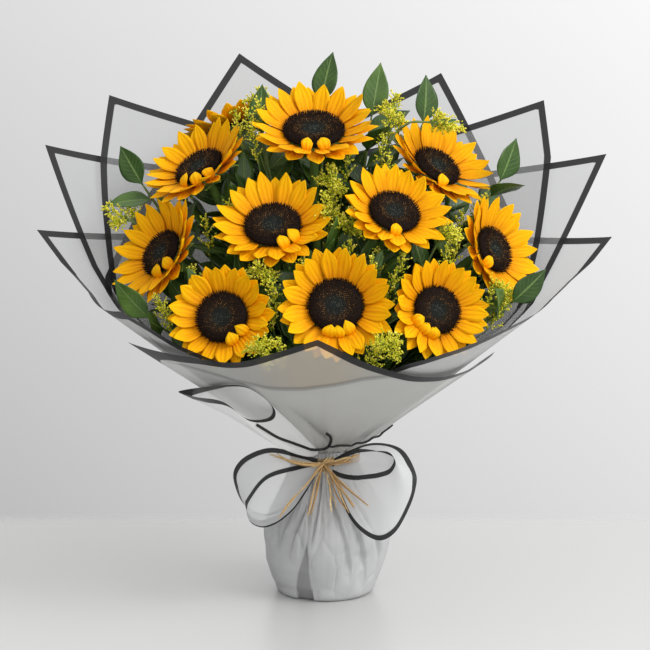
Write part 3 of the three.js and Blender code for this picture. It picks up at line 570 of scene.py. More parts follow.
disc_finish = Finish("floret_brown", roughness=0.75, specular_ior_level=0.12)
disc_share = disc_finish.attribute("share")
disc_dark = disc_finish.ramp(disc_share, [
    (0.0, (0.02, 0.025, 0.022)),
    (0.3, (0.017, 0.019, 0.016)),
    (0.5, (0.026, 0.016, 0.009)),
    (0.75, (0.017, 0.009, 0.006)),
    (1.0, (0.009, 0.006, 0.005)),
])
disc_bright = disc_finish.ramp(disc_share, [
    (0.0, (0.12, 0.14, 0.11)),
    (0.32, (0.07, 0.065, 0.048)),
    (0.48, (0.24, 0.12, 0.035)),
    (0.68, (0.14, 0.06, 0.02)),
    (0.9, (0.05, 0.024, 0.014)),
])
disc_fleck = disc_finish.attribute("tone").step(0.45, 1.0) * disc_finish.attribute("tip")
disc_finish.drive("Base Color", disc_finish.blend(disc_fleck, disc_dark, disc_bright))


def disc_level(share):
    return np.interp(share, *DISC_PROFILE)


def disc_bed(bloom, radius):
    """The dish that the florets stand on."""
    inwards = [*DISC_PROFILE[0][:0:-1], DISC_MIDDLE]
    rings = [DISC_UNDERSIDE, *[(share, disc_level(share)) for share in inwards]]
    turn = all_round(DISC_SIDES)
    grid = np.array([bloom.turned(turn, share * radius, level) for share, level in rings])
    shares = np.repeat([share for share, _ in rings], DISC_SIDES)
    measures = {"share": shares, "tone": 0 * shares, "tip": 0 * shares}
    return woven("sunflower_disc_" + bloom.number, grid, measures, closed=True, capped=True)


def sunflower_disc(bloom):
    radius = bloom.disc - DISC_GAP
    draw = random.Random("florets " + bloom.number)
    flat = bud_shape[0]
    count = round(FLORETS_PER_AREA * radius * radius)
    rim = round(radius * RIM_FLORETS)
    spots = [(math.sqrt((k + 0.5) / count), k * GOLDEN_ANGLE) for k in range(count)]
    spots += [
        (draw.uniform(*RIM_SHARES), 2 * math.pi * (k + draw.uniform(-RIM_STRAY, RIM_STRAY)) / rim)
        for k in range(rim)
    ]
    inmost, outwards = FLORET_LEAN
    copies, shares, tones = [], [], []
    for share, angle in spots:
        bristly = float(np.clip((share - BRISTLY_FROM) / BRISTLY_OVER, 0, 1))
        length = BUD_LENGTH + BRISTLE_LENGTH * bristly * draw.uniform(*BRISTLE_LENGTHS)
        thick = BUD_THICKNESS - BRISTLE_THINNING * bristly
        lean = inmost + outwards * share ** 2 + draw.uniform(-FLORET_STRAY, FLORET_STRAY)
        veer = draw.uniform(-FLORET_STRAY, FLORET_STRAY)
        height = (flat[:, 2] + BUD_STANDS) * length
        narrow = thick * np.where(flat[:, 2] > BUD_TIP_FROM, BUD_TIP_WIDTH, 1.0)
        out = share * radius + flat[:, 0] * narrow + height * math.sin(lean)
        level = disc_level(min(share, 1.0)) + height * math.cos(lean)
        copies.append(bloom.turned(angle, out, level, flat[:, 1] * narrow + height * veer))
        shares.append(min(share, 1.0))
        tones.append(draw.random())
    tips = [np.clip(flat[:, 2] + BUD_TIP_LIGHT, 0, 1)] * len(copies)
    florets = grown("florets", bud_shape, copies, {"share": shares, "tone": tones, "tip": tips})
    piece = joined(disc_bed(bloom, radius), florets)
    painted(piece, disc_finish)
    stands_for(piece, "disc_" + bloom.number)


for bloom in blooms:
    sunflower_disc(bloom)

# Petals
# Golden yellow petals stand round each disc in two rows, ribbed along their length. They are deeper
# orange at their roots, partly their own colour and partly painted shade, and painted shade darkens the
# grooves between their ribs. Some of the smallest curl in over the disc's edge.
PETALS_A_ROW = 16
PETAL_WIDTH = 16.4
PETAL_ROOT_GAP = 0.4
PETAL_WIDTH_AT = 26
PETAL_ROOT_LEVEL = -3.2
FRONT_ROW_RISE = 1.3
FRONT_ROW_TUCK = 2.2
PETAL_STATIONS = [0, 0.42, 0.76, 1]
SOLID_PETALS = 18
PETAL_OUTLINE = ([0, 0.1, 0.25, 0.5, 0.68, 0.84, 0.94, 1], [0.5, 0.66, 0.88, 1, 0.84, 0.5, 0.24, 0.02])
PETAL_THICKNESS = 0.4
PETAL_STRAY = 0.16
PETAL_SIZES = (0.9, 1.02)
PETAL_WIDTHS = (0.88, 1.1)
PETAL_CUPPING = (0.7, 1.7)
PETAL_CREASE = -0.35
PETAL_ROLL = 1.4
PETAL_CURL = (-0.6, 2.2)
CURLS_FROM = 0.7
CURLS_OVER = 0.3
PETAL_EASING = 0.94
PETAL_CREASES = 2.4
PETAL_WAVE = (0.2, 0.6)
PETAL_WAVES = 9
PETAL_SWAY = 0.09
CURLED_OUTLINE = ([0, 0.1, 0.3, 0.5, 0.7, 0.84, 0.94, 1], [0.5, 0.58, 0.76, 0.95, 1, 0.74, 0.38, 0.03])
CURLED_REACHES = np.array([5, 4.2, -0.6, -7])
CURLED_LEVELS = np.array([PETAL_ROOT_LEVEL, 3.6, 7.4, 7])
CURLED_OVER = (-1, 1.4)
FURTHER_OVER = np.array([0, 0, -0.4, -1])
HIGHER_OVER = np.array([0, 0, 0, 0.5])
CURLED_WIDTHS = (11.5, 14.5)
CURLED_RIBS = 0.8
CURLED_CUPPING = 0.75

petal_shape = blade_shape(6, 12)
petal_side, petal_share, petal_face = blade_measures(petal_shape[0])

petal_finish = Finish(
    "petal_yellow", roughness=0.6, specular_ior_level=0.08,
    subsurface_weight=0.12, subsurface_radius=(1.0, 0.5, 0.1), subsurface_scale=0.002,
)
petal_along = petal_finish.attribute("along")
petal_across = petal_finish.attribute("across")
petal_tone = petal_finish.attribute("tone")
# Colour along each petal. The deeper orange at the root is partly the petal's own and partly painted shade.
petal_plain = petal_finish.ramp(petal_along, [
    (0.0, (0.8, 0.26, 0.001)),
    (0.25, (0.9, 0.38, 0.001)),
    (0.6, (0.94, 0.465, 0.001)),
    (1.0, (0.97, 0.54, 0.002)),
])
# The darker orange, for random streaks and tone, and for painted shade in the grooves between the ribs.
petal_deep_tone_and_shade = petal_finish.ramp(petal_along, [
    (0.0, (0.5, 0.12, 0.001)),
    (0.4, (0.72, 0.25, 0.001)),
    (1.0, (0.9, 0.4, 0.001)),
])
petal_ribs = (petal_across * 11 + petal_tone * 6).sine() * 0.5 + 0.5
petal_streak = petal_finish.noise(
    petal_finish.node("ShaderNodeCombineXYZ", "Vector", (), {
        "X": petal_across * 3, "Y": petal_along * 1.2, "Z": petal_tone * 40,
    }), 1.6, 3,
)
# Painted shade in the rib grooves, random streaks and a random tone, mixed towards the darker orange.
petal_crease_shade_and_tone = (petal_ribs ** 3 * 0.35 + petal_streak.step(0.45, 0.75) * 0.5 + petal_tone * 0.25).least(1.0)
petal_finish.drive("Base Color", petal_finish.blend(petal_crease_shade_and_tone, petal_plain, petal_deep_tone_and_shade))
petal_finish.drive("Normal", petal_finish.bump(petal_ribs, 0.35, 0.0012))


def neighbours_of(faces):
    near = {}
    for face in faces.tolist():
        for corner in face:
            near.setdefault(corner, set()).update(face)
    return {corner: found - {corner} for corner, found in near.items()}


def rings_from(near, tip, count):
    """Rings of corners, one after another, from a tip towards its root."""
    seen = {tip}
    ring = {tip}
    rings = []
    for _ in range(count):
        ring = {found for corner in ring for found in near[corner]} - seen
        seen |= ring
        rings.append(sorted(ring))
    return rings


def petal_rows(bloom):
    """How the petals of a bloom's solid rise, in each row: angles, and reach and level at each station."""
    points, faces = solid_of("petals_" + bloom.number)
    near = neighbours_of(faces)
    rows = [[], []]
    for tip in [corner for corner in near if len(near[corner]) == 4]:
        upper, lower = rings_from(near, tip, 2)
        marks = bloom.own(np.array([points[lower].mean(0), points[upper].mean(0), points[tip]]))
        angle = math.atan2(marks[0, 1], marks[0, 0]) % (2 * math.pi)
        reaches = np.hypot(marks[:, 0], marks[:, 1])
        steps = round(angle * SOLID_PETALS / (2 * math.pi))
        rows[steps % 2].append((angle, *reaches, *marks[:, 2]))
    return [np.array(sorted(row)) for row in rows]


def profile_at(row, angle):
    """Reaches and levels at the stations of a petal at any angle, between those of the solid's petals."""
    full_turn = np.zeros(row.shape[1])
    full_turn[0] = 2 * math.pi
    around = np.concatenate([row[-1:] - full_turn, row, row[:1] + full_turn])
    return np.array([np.interp(angle % (2 * math.pi), around[:, 0], marks) for marks in around[:, 1:].T])


def petal(bloom, angle, reaches, levels, width, draw, curled=False):
    side, face = petal_side, petal_face
    share = petal_share ** PETAL_EASING
    reach_curve = np.polyfit(PETAL_STATIONS, reaches, 3)
    level_curve = np.polyfit(PETAL_STATIONS, levels, 3)
    reach = np.polyval(reach_curve, share)
    level = np.polyval(level_curve, share)
    slope = np.arctan2(np.polyval(np.polyder(level_curve), share), np.polyval(np.polyder(reach_curve), share))
    length = math.hypot(reaches[-1] - reaches[0], levels[-1] - levels[0])
    spread = np.interp(share, *(CURLED_OUTLINE if curled else PETAL_OUTLINE))
    cupping = CURLED_CUPPING if curled else 1
    cupped = draw.uniform(*PETAL_CUPPING) * side ** 2 * spread * cupping
    crease = PETAL_CREASE * np.cos(side * PETAL_CREASES * math.pi) * spread * (1 - share ** 3) * cupping
    roll = draw.uniform(-PETAL_ROLL, PETAL_ROLL) * side * spread
    curl = draw.uniform(*PETAL_CURL) * np.clip((share - CURLS_FROM) / CURLS_OVER, 0, 1) ** 2
    wave = draw.uniform(*PETAL_WAVE) * np.sin(share * PETAL_WAVES + draw.uniform(0, 6)) * side * spread
    lift = cupped + crease + roll + curl + wave + face * PETAL_THICKNESS / 2 * thinned(side)
    sway = draw.uniform(-PETAL_SWAY, PETAL_SWAY) * length * share ** 2
    out, up = reach - np.sin(slope) * lift, level + np.cos(slope) * lift
    return bloom.turned(angle, out, up, side * spread * width / 2 + sway)


def sunflower_petals(bloom):
    draw = random.Random("petals " + bloom.number)
    root = bloom.disc + PETAL_ROOT_GAP
    width = PETAL_WIDTH * math.sqrt(bloom.disc / PETAL_WIDTH_AT)
    copies, tones, acrosses = [], [], []
    for front, row in enumerate(petal_rows(bloom)):
        rise = PETAL_ROOT_LEVEL + FRONT_ROW_RISE * front
        for k in range(PETALS_A_ROW):
            stray = draw.uniform(-PETAL_STRAY, PETAL_STRAY)
            angle = 2 * math.pi * (k + 0.5 * front + stray) / PETALS_A_ROW
            marks = profile_at(row, angle)
            size = draw.uniform(*PETAL_SIZES)
            reaches = [root - FRONT_ROW_TUCK * front, *(root + (marks[:3] - root) * size)]
            levels = [rise, *(rise + (marks[3:] - PETAL_ROOT_LEVEL) * size)]
            copies.append(petal(bloom, angle, reaches, levels, width * draw.uniform(*PETAL_WIDTHS), draw))
            tones.append(draw.uniform(0, 1))
            acrosses.append(petal_side)
    for degrees in bloom.curled:
        over = draw.uniform(*CURLED_OVER)
        reaches = bloom.disc + CURLED_REACHES + FURTHER_OVER * over
        levels = CURLED_LEVELS + HIGHER_OVER * over
        spread = draw.uniform(*CURLED_WIDTHS)
        copies.append(petal(bloom, math.radians(degrees), reaches, levels, spread, draw, curled=True))
        tones.append(draw.uniform(0.1, 0.8))
        acrosses.append(petal_side * CURLED_RIBS)
    measures = {"along": [petal_share] * len(copies), "across": acrosses, "tone": tones}
    piece = grown("sunflower_petals_" + bloom.number, petal_shape, copies, measures)
    painted(piece, petal_finish)
    stands_for(piece, "petals_" + bloom.number)


for bloom in blooms:
    sunflower_petals(bloom)

# Leaves
# Dark glossy leaves stand on thin woody stems between and behind the blooms. Each is a pointed oval with a
# pale midrib, folded a little along it.
LEAF_STATIONS = (1, 0.66, 0.32)
LEAF_SHARE_OF_WIDTH = 0.8
LEAF_OUTLINE = (
    [0, 0.05, 0.09, 0.16, 0.26, 0.38, 0.5, 0.64, 0.78, 0.9, 0.97, 1],
    [0.05, 0.05, 0.16, 0.5, 0.84, 1, 0.99, 0.84, 0.56, 0.25, 0.07, 0.015],
)
LEAF_VEINS = 9
LEAF_THICKNESS = 0.44
LEAF_FOLD = (1.6, 3.2)
LEAF_WAVE = (0.4, 1.1)
LEAF_WAVES = (7, 12)
LEAF_HOOK = (-0.07, 0.03)
HOOKS_FROM = 0.6
LEAF_SWAY = 0.05
TIP_ANGLE = 140
WELD = 0.0004
LEAFY_STEMS = 9

leaf_shape = blade_shape(9, 17)

leaf_finish = Finish("leaf_green", roughness=0.38, specular_ior_level=0.32)
leaf_distance = leaf_finish.attribute("across").size()
leaf_vein = ((leaf_finish.attribute("along") * LEAF_VEINS - leaf_distance * 2.2) * (2 * math.pi)).sine()
leaf_vein = leaf_vein.step(0.82, 1.0) * (1 - leaf_distance.step(0.5, 1.0))
leaf_midrib = 1 - leaf_distance.step(0.03, 0.11)
leaf_cloud = leaf_finish.noise(leaf_finish.object_place(), 50, 3)
leaf_body = leaf_finish.blend(
    leaf_finish.attribute("tone"),
    leaf_finish.clouded(leaf_cloud, (0.022, 0.055, 0.01), (0.042, 0.095, 0.016)),
    leaf_finish.clouded(leaf_cloud, (0.05, 0.115, 0.018), (0.115, 0.21, 0.03)),
)
leaf_finish.drive("Base Color", leaf_finish.blend(
    (leaf_midrib * 0.8 + leaf_vein * 0.3).least(1.0), leaf_body, (0.16, 0.25, 0.07),
))
leaf_finish.drive("Normal", leaf_finish.bump(leaf_vein * 0.5 + leaf_midrib, 0.4, 0.001))
leaf_finish.drive("Roughness", leaf_cloud * 0.2 + 0.22)

twig_finish = Finish("twig_green", roughness=0.6)
twig_cloud = twig_finish.noise(twig_finish.object_place(), 90, 2)
twig_finish.drive("Base Color", twig_finish.clouded(twig_cloud, (0.09, 0.14, 0.03), (0.17, 0.24, 0.06)))


def tips_of(points, faces, widest):
    """Corners that end in a point: the angles that meet there come to less than widest degrees."""
    total = np.zeros(len(points))
    for k in range(3):
        ahead = points[faces[:, (k + 1) % 3]] - points[faces[:, k]]
        behind = points[faces[:, (k + 2) % 3]] - points[faces[:, k]]
        lengths = np.linalg.norm(ahead, axis=1) * np.linalg.norm(behind, axis=1)
        angles = np.arccos(np.clip((ahead * behind).sum(1) / lengths, -1, 1))
        np.add.at(total, faces[:, k], np.degrees(angles))
    return np.flatnonzero(total < widest)


def widest_pair(corners):
    """The two corners that are furthest apart, then the rest."""
    gaps = np.linalg.norm(corners[:, None] - corners[None], axis=-1)
    i, j = np.unravel_index(gaps.argmax(), gaps.shape)
    return corners[[i, j]], np.delete(corners, [i, j], axis=0)


def stalk_of(name, points, faces):
    """The thin stalk that is left of a node, rounded."""
    mesh = bpy.data.meshes.new(name)
    mesh.from_pydata((points * MM).tolist(), [], faces.tolist())
    piece = smooth_piece(name, mesh, {})
    alone(piece)
    weld = piece.modifiers.new("weld", "WELD")
    weld.merge_threshold = WELD
    rounding = piece.modifiers.new("rounding", "SUBSURF")
    rounding.levels = 1
    rounding.render_levels = 1
    for modifier in (weld, rounding):
        bpy.ops.object.modifier_apply(modifier=modifier.name)
    return piece


def on_twig(twig, crown, finish):
    """A twig and the leaves or florets that it carries, each in its own finish, as one piece."""
    painted(twig, twig_finish)
    painted(crown, finish)
    return joined(twig, crown)


def leafy_stem(number):
    node = "leafy_stem_" + number
    points, faces = solid_of(node)
    near = neighbours_of(faces)
    draw = random.Random(node)
    stalk = points.copy()
    side, share, face = blade_measures(leaf_shape[0])
    outline = np.interp(share, *LEAF_OUTLINE)
    powers = np.vander(LEAF_STATIONS, 3)
    copies, tones = [], []
    for tip in tips_of(points, faces, TIP_ANGLE):
        upper, lower = rings_from(near, tip, 2)
        edges, ridge = widest_pair(points[upper])
        _, low_ridge = widest_pair(points[lower])
        sag, ahead, root = np.linalg.solve(powers, np.array([points[tip], ridge.mean(0), low_ridge.mean(0)]))
        stalk[[tip, *upper, *lower]] = root
        width = np.linalg.norm(edges[1] - edges[0]) / LEAF_SHARE_OF_WIDTH
        across = unit(edges[1] - edges[0])
        if np.cross(across, ahead) @ sag > 0:
            across = -across
        up = unit(np.cross(across, ahead))
        length = np.linalg.norm(ahead)
        fold = draw.uniform(*LEAF_FOLD) * np.abs(side) ** 1.3 * outline
        depth = draw.uniform(*LEAF_WAVE)
        wave = depth * np.sin(share * draw.uniform(*LEAF_WAVES) + draw.uniform(0, 6)) * side ** 2 * outline
        hook = draw.uniform(*LEAF_HOOK) * length * np.clip(share - HOOKS_FROM, 0, 1) ** 2 * 4
        lift = (fold + wave + hook + face * LEAF_THICKNESS / 2)[:, None]
        sway = draw.uniform(-LEAF_SWAY, LEAF_SWAY) * length * share ** 2
        middle = root + share[:, None] * ahead + share[:, None] ** 2 * sag
        copies.append(middle + (side * outline * width / 2 + sway)[:, None] * across + lift * up)
        tones.append(draw.random() ** 1.6)
    measures = {"along": [share] * len(copies), "across": [side] * len(copies), "tone": tones}
    leaves = grown("leaves", leaf_shape, copies, measures)
    piece = on_twig(stalk_of("foliage_" + number, stalk, faces), leaves, leaf_finish)
    stands_for(piece, node)


for k in range(LEAFY_STEMS):
    leafy_stem("%02d" % (k + 1))

# Goldenrod
# Feathery plumes of tiny yellow-green florets on thin curved shoots. Every shoot carries short side shoots,
# which the florets crowd round.
GOLDENRODS = 6
PLUME_TIP_ANGLE = 210
PLUME_STATIONS = (1, 0.75, 0.5)
PLUME_SHOOTS = 12
PLUME_TOP_FLORETS = 12
PLUME_TOP_FROM = 0.72
SHOOTS_FROM = 0.1
SHOOTS_OVER = 0.82
SHOOT_LENGTHS = (0.75, 1.15)
SHOOTS_STRAY = 0.3
ROOT_SHOOT = 9.5
TIP_SHOOT = 2.5
SHOOT_TAPER = 0.6
SHOOT_ASIDE = 0.9
SHOOT_FORWARD = 0.55
SHOOT_CURVE = 0.035
ASKEW = (0.3, 0.2, 1)
FLORETS_PER_LENGTH = 1.25
FLORET_SIZES = (0.45, 0.92)
FLORET_SCATTER = 0.75
FLORET_TURN = 0.4
FLORET_STRETCH = 0.7
FLORET_TONES = (0.3, 0.3, 0.03, 0.2)
GOLDENROD_SEED = 700
PLUME_STALK = 0.5
PLUME_LENGTH = 42
PLUME_TRIES = 30
PLUME_MARGIN = 22
FLORET_MARGIN = 20
FLORET_CLEARANCE = 1.2
FILLING_PIECES_OF_GOLDENROD = 3
FILLING_PLUMES = [
    (-79, 20, 486), (-65, 30, 488), (-72, 5, 468), (63, 15, 476), (57, 5, 458), (62, -10, 439),
    (76, 30, 474), (-201, -25, 379), (-189, -20, 389), (-106, 30, 443), (145, 5, 403), (157, 0, 407),
    (189, -20, 378), (26, 20, 446), (-94, 30, 477), (6, -20, 426), (5, -35, 408), (5, -60, 382),
    (56, -87, 359), (46, -93, 352), (67, -99, 336), (74, -89, 349), (126, -44, 365), (134, -12, 383),
    (119, -60, 350), (161, -70, 313), (168, -53, 325), (175, -67, 303), (51, -147, 287), (54, -157, 276),
    (-57, -99, 338), (-49, -110, 324), (-53, -113, 310), (-166, -75, 308), (-156, -84, 301),
    (-151, -89, 289), (-56, -155, 277), (-92, -28, 395), (-116, -34, 381), (-23, -94, 349),
    (-129, -62, 339), (19, -89, 354), (25, -84, 364), (-40, -150, 272), (96, -146, 262), (-112, -130, 258),
    (60, 90, 430), (-20, 80, 440), (120, 80, 400), (-150, 60, 400),
]

bpy.ops.object.select_all(action="DESELECT")
bpy.ops.mesh.primitive_uv_sphere_add(segments=4, ring_count=2, radius=1)
grain_shape = shape_of(bpy.context.object)

plume_finish = Finish("goldenrod_yellow", roughness=0.7, specular_ior_level=0.2)
plume_finish.drive("Base Color", plume_finish.ramp(plume_finish.attribute("tone"), [
    (0.0, (0.1, 0.18, 0.02)),
    (0.35, (0.34, 0.42, 0.02)),
    (0.65, (0.74, 0.68, 0.03)),
    (1.0, (0.94, 0.86, 0.16)),
]))


def plume(root, ahead, sag, draw):
    """Florets along a curved shoot and its side shoots, and a tone for each."""
    copies, tones = [], []
    along = unit(ahead)
    one = unit(np.cross(along, ASKEW))
    two = np.cross(along, one)
    base, upper, outer, varied = FLORET_TONES
    spots = [(share, None, 0) for share in np.linspace(PLUME_TOP_FROM, 1.0, PLUME_TOP_FLORETS)]
    for k in range(PLUME_SHOOTS):
        share = SHOOTS_FROM + SHOOTS_OVER * (k + SHOOTS_STRAY * draw.random()) / PLUME_SHOOTS
        turn = k * GOLDEN_ANGLE
        aside = one * math.cos(turn) + two * math.sin(turn)
        length = (ROOT_SHOOT * (1 - share) ** SHOOT_TAPER + TIP_SHOOT) * draw.uniform(*SHOOT_LENGTHS)
        count = round(length * FLORETS_PER_LENGTH) + 2
        spots += [(share, aside, length * (j + 0.5) / count) for j in range(count)]
    for share, aside, out in spots:
        centre = root + ahead * share + sag * share ** 2 + draw.normal(0, FLORET_SCATTER, 3)
        lengthwise = along + draw.normal(0, FLORET_TURN, 3)
        if aside is not None:
            forward = out * SHOOT_FORWARD + out * out * SHOOT_CURVE
            centre = centre + aside * out * SHOOT_ASIDE + along * forward
            lengthwise = lengthwise + aside
        lengthwise = unit(lengthwise)
        grain = grain_shape[0] * draw.uniform(*FLORET_SIZES)
        copies.append(centre + grain + np.outer(grain @ lengthwise, lengthwise) * FLORET_STRETCH)
        tones.append(np.clip(base + upper * share + outer * out + draw.normal(0, varied), 0.03, 1))
    return copies, tones


def goldenrod(number):
    node = "goldenrod_" + number
    points, faces = solid_of(node)
    near = neighbours_of(faces)
    draw = np.random.default_rng(GOLDENROD_SEED + int(number))
    stalk = points.copy()
    powers = np.vander(PLUME_STATIONS, 3)
    copies, tones = [], []
    for tip in tips_of(points, faces, PLUME_TIP_ANGLE):
        rings = rings_from(near, tip, 3)
        centres = [points[ring].mean(0) for ring in rings]
        sag, ahead, root = np.linalg.solve(powers, np.array([points[tip], *centres[:2]]))
        for ring, centre in zip(rings, centres):
            away = stalk[ring] - centre
            stalk[ring] = centre + away * (PLUME_STALK / np.linalg.norm(away, axis=1))[:, None]
        more, shades = plume(root, ahead, sag, draw)
        copies += more
        tones += shades
    florets = grown("grains", grain_shape, copies, {"tone": tones})
    piece = on_twig(stalk_of("goldenrod_spray_" + number, stalk, faces), florets, plume_finish)
    stands_for(piece, node)


for k in range(GOLDENRODS):
    goldenrod("%02d" % (k + 1))

# Filling foliage
# More leafy twigs and goldenrod fill the room between the blooms, out to the film, which opens from the tie
# as a cone. They go in after the blooms, so each leaf and shoot is turned or shortened until it clears them.
TIE_TOP = np.array([0, 0, TIE_HIGH])
TIE_RADIUS = 23.5
FILM_START = 26
LEAN_BEHIND = 22.5
LEAN_BESIDE = 50
LEAN_BEFORE = 52
LEAN_EASING = 1.17
FILLING_TWIGS = 136
FILLING_PIECES = 4
LEAVES_A_TWIG = 9
FILLING_LENGTH = (34, 56)
SHORTEST_LEAF = 20
FILLING_SPREAD = (0.25, 1.15)
FILLING_WIDTHS = (0.38, 0.52)
FILLING_BENDS = ((-0.22, -0.02), (0.8, 2.6), (0.2, 1.0))
FILLING_THICKNESS = 0.4
FILLING_HEIGHTS = (0.8, 0.97)
WIDEST_INNER_LEAN = 0.82
FILLING_TRIES = 16
FILM_CLEARANCE = 5
FACE_MARGIN = 26
LINING_SPREAD = 0.72
LINING_CLEARANCE = 0.075
LINING_DEEPER = 0.09
INNER_CLEARANCE = 0.04
BEARING_STRAY = 0.12
HEIGHT_LOST = 0.025
LINING_CYCLE = 9
INNER_IN_CYCLE = 5
LEAVES_FROM = 0.5
LEAF_SHORTENED = 0.9
LEAF_ALONG_FILM = 4
LEAF_INWARDS = 3
LEAF_UPPER_FACE = np.array([0, -0.55, 0.6])
LEAF_FACE_STRAY = 0.45
BENT_WAVES = (9, 7)
TWIG_ROOT_SHARE = 0.055
TWIG_ROOT_LEVEL = TIE_HIGH - 6
TWIG_ROOT_STRAY = 5
TWIG_ROOT_REACH = 19
TWIG_STEPS = 12
TWIG_ARCH = 0.07
TWIG_BOW = 5
TWIG_BAR = (1.3, 0.6, 6)
TWIG_SEED = 4000
PLUME_BOW = 4
PLUME_BAR = (1.1, 0.4, 5)
PLUME_SEED = 5000
PLUME_STRAY = (0.3, 0.35)
PLUME_OUTWARD = 0.8
PLUME_UPWARD = np.array([0, 0, 0.5])
PLUME_TURN = 0.12
PLUME_SIZES = (0.85, 1.15)
PLUME_END = 5
GAP_ENDS = [(130, 68, 372), (118, 74, 388), (142, 52, 360), (-150, 5, 300), (-146, -20, 286)]
TEST_ROWS = 8

filling_shape = blade_shape(4, 7)
test_side, test_share = [
    mark.ravel() for mark in np.meshgrid([-1.0, 0.0, 1.0], np.linspace(0.04, 1, TEST_ROWS))
]
test_faces = [
    (3 * i + j, 3 * i + j + 1, 3 * i + j + 4, 3 * i + j + 3) for i in range(TEST_ROWS - 1) for j in range(2)
]
test_flat = np.stack([test_side, test_share * 2 - 1, 0 * test_side], -1)


def steepness(bearing):
    """Lean of the wrap from upright, steep behind and wide in front."""
    turn = np.abs(bearing)
    quarter = math.pi / 2
    opening = (1 - np.cos(np.minimum(turn, quarter))) ** LEAN_EASING
    behind = LEAN_BEHIND + (LEAN_BESIDE - LEAN_BEHIND) * opening
    before = LEAN_BESIDE + (LEAN_BEFORE - LEAN_BESIDE) * (turn / quarter - 1)
    return np.radians(np.where(turn <= quarter, behind, before))


def cone_line(bearing):
    """The wrap's line at a bearing: outward, up along it, out from its face, and where the sheet starts."""
    lean = steepness(bearing)
    level = np.zeros_like(bearing)
    outward = np.stack([np.sin(bearing), np.cos(bearing), level], -1)
    upward = np.array([0.0, 0.0, 1.0])
    along = outward * np.sin(lean)[..., None] + upward * np.cos(lean)[..., None]
    face = outward * np.cos(lean)[..., None] - upward * np.sin(lean)[..., None]
    return outward, along, face, FILM_START / np.cos(lean)


def room_inside(points):
    """How far points are inside the wrap's innermost sheet."""
    outward, _, face, _ = cone_line(np.arctan2(points[:, 0], points[:, 1]))
    away = points - outward * TIE_RADIUS - TIE_TOP
    return -(away * face).sum(-1)


def tree_of(pieces):
    corners, faces = [], []
    for piece in pieces:
        first = len(corners)
        corners += [vertex.co / MM for vertex in piece.data.vertices]
        faces += [[first + corner for corner in face.vertices] for face in piece.data.polygons]
    return BVHTree.FromPolygons(corners, faces)


dressed = ("sunflower_petals_", "sunflower_stem_")
flowers = tree_of(
    [bpy.data.objects[kind + bloom.number] for bloom in blooms for kind in dressed]
    + [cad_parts["disc_" + bloom.number] for bloom in blooms]
)
heads = np.array([bloom.back for bloom in blooms]) - TIE_TOP
head_reach = np.linalg.norm(heads, axis=1)


def canopy(direction):
    """How far the blooms stand from the tie, in any direction."""
    weight = 1 / (1.02 - heads @ direction / head_reach) ** 2
    return (weight * head_reach).sum() / weight.sum()


def before_blooms(points, margin=FACE_MARGIN):
    """Which points stand in front of a bloom's face."""
    found = np.zeros(len(points), bool)
    for bloom in blooms:
        own = bloom.own(points)
        found |= (own[:, 2] > -6) & (np.hypot(own[:, 0], own[:, 1]) < bloom.disc + margin)
    return found


def clear_path(path):
    for low, high in zip(path, path[1:]):
        step = Vector(high - low)
        if flowers.ray_cast(Vector(low), step.normalized(), step.length)[0] is not None:
            return False
    return bool((room_inside(path[3:]) > FILM_CLEARANCE).all())


def shoot_path(end, draw, bow):
    """A slender curve from the tie up to an end."""
    start = np.array([end[0] * TWIG_ROOT_SHARE, end[1] * TWIG_ROOT_SHARE, TWIG_ROOT_LEVEL])
    start[:2] += draw.normal(0, TWIG_ROOT_STRAY, 2)
    start[:2] *= min(1, TWIG_ROOT_REACH / max(np.hypot(*start[:2]), 1e-9))
    share = np.linspace(0, 1, TWIG_STEPS)[:, None]
    guide = (start + end) / 2 + np.array([0, 0, 1]) * np.linalg.norm(end - start) * TWIG_ARCH
    guide = guide + draw.normal(0, bow, 3)
    return start * (1 - share) ** 2 + 2 * guide * share * (1 - share) + end * share ** 2


def bent_leaf(flat, root, ahead, up, width, bends):
    side, share, face = blade_measures(flat)
    outline = np.interp(share, *LEAF_OUTLINE)
    across = unit(np.cross(ahead, up))
    up = unit(np.cross(across, ahead))
    sag, fold, wave = bends
    waves, shift = BENT_WAVES
    length = np.linalg.norm(ahead)
    lift = sag * length * share ** 2 + fold * np.abs(side) ** 1.3 * outline
    lift = lift + wave * np.sin(share * waves + wave * shift) * side ** 2 * outline
    lift = lift + face * FILLING_THICKNESS / 2
    return root + share[:, None] * ahead + (side * outline * width / 2)[:, None] * across + lift[:, None] * up


def filling_leaf(root, along, outward, draw):
    """A leaf from a twig, turned and shortened until it clears the blooms and the film."""
    length = draw.uniform(*FILLING_LENGTH)
    for _ in range(FILLING_TRIES):
        aside = np.cross(along, draw.normal(0, 1, 3) + outward * LEAF_ALONG_FILM)
        aside *= draw.choice((-1, 1)) / np.linalg.norm(aside)
        spread = draw.uniform(*FILLING_SPREAD)
        ahead = (along * math.cos(spread) + aside * math.sin(spread)) * length
        up = along * 0.5 + LEAF_UPPER_FACE + draw.normal(0, LEAF_FACE_STRAY, 3) - outward * LEAF_INWARDS
        width = length * draw.uniform(*FILLING_WIDTHS)
        bends = [draw.uniform(*span) for span in FILLING_BENDS]
        test = bent_leaf(test_flat, root, ahead, up, width, bends)
        leaf = BVHTree.FromPolygons([Vector(point) for point in test], test_faces)
        inside = (room_inside(test) > FILM_CLEARANCE).all()
        if inside and not before_blooms(test).any() and not flowers.overlap(leaf):
            return bent_leaf(filling_shape[0], root, ahead, up, width, bends)
        length = max(length * LEAF_SHORTENED, SHORTEST_LEAF)
    return None


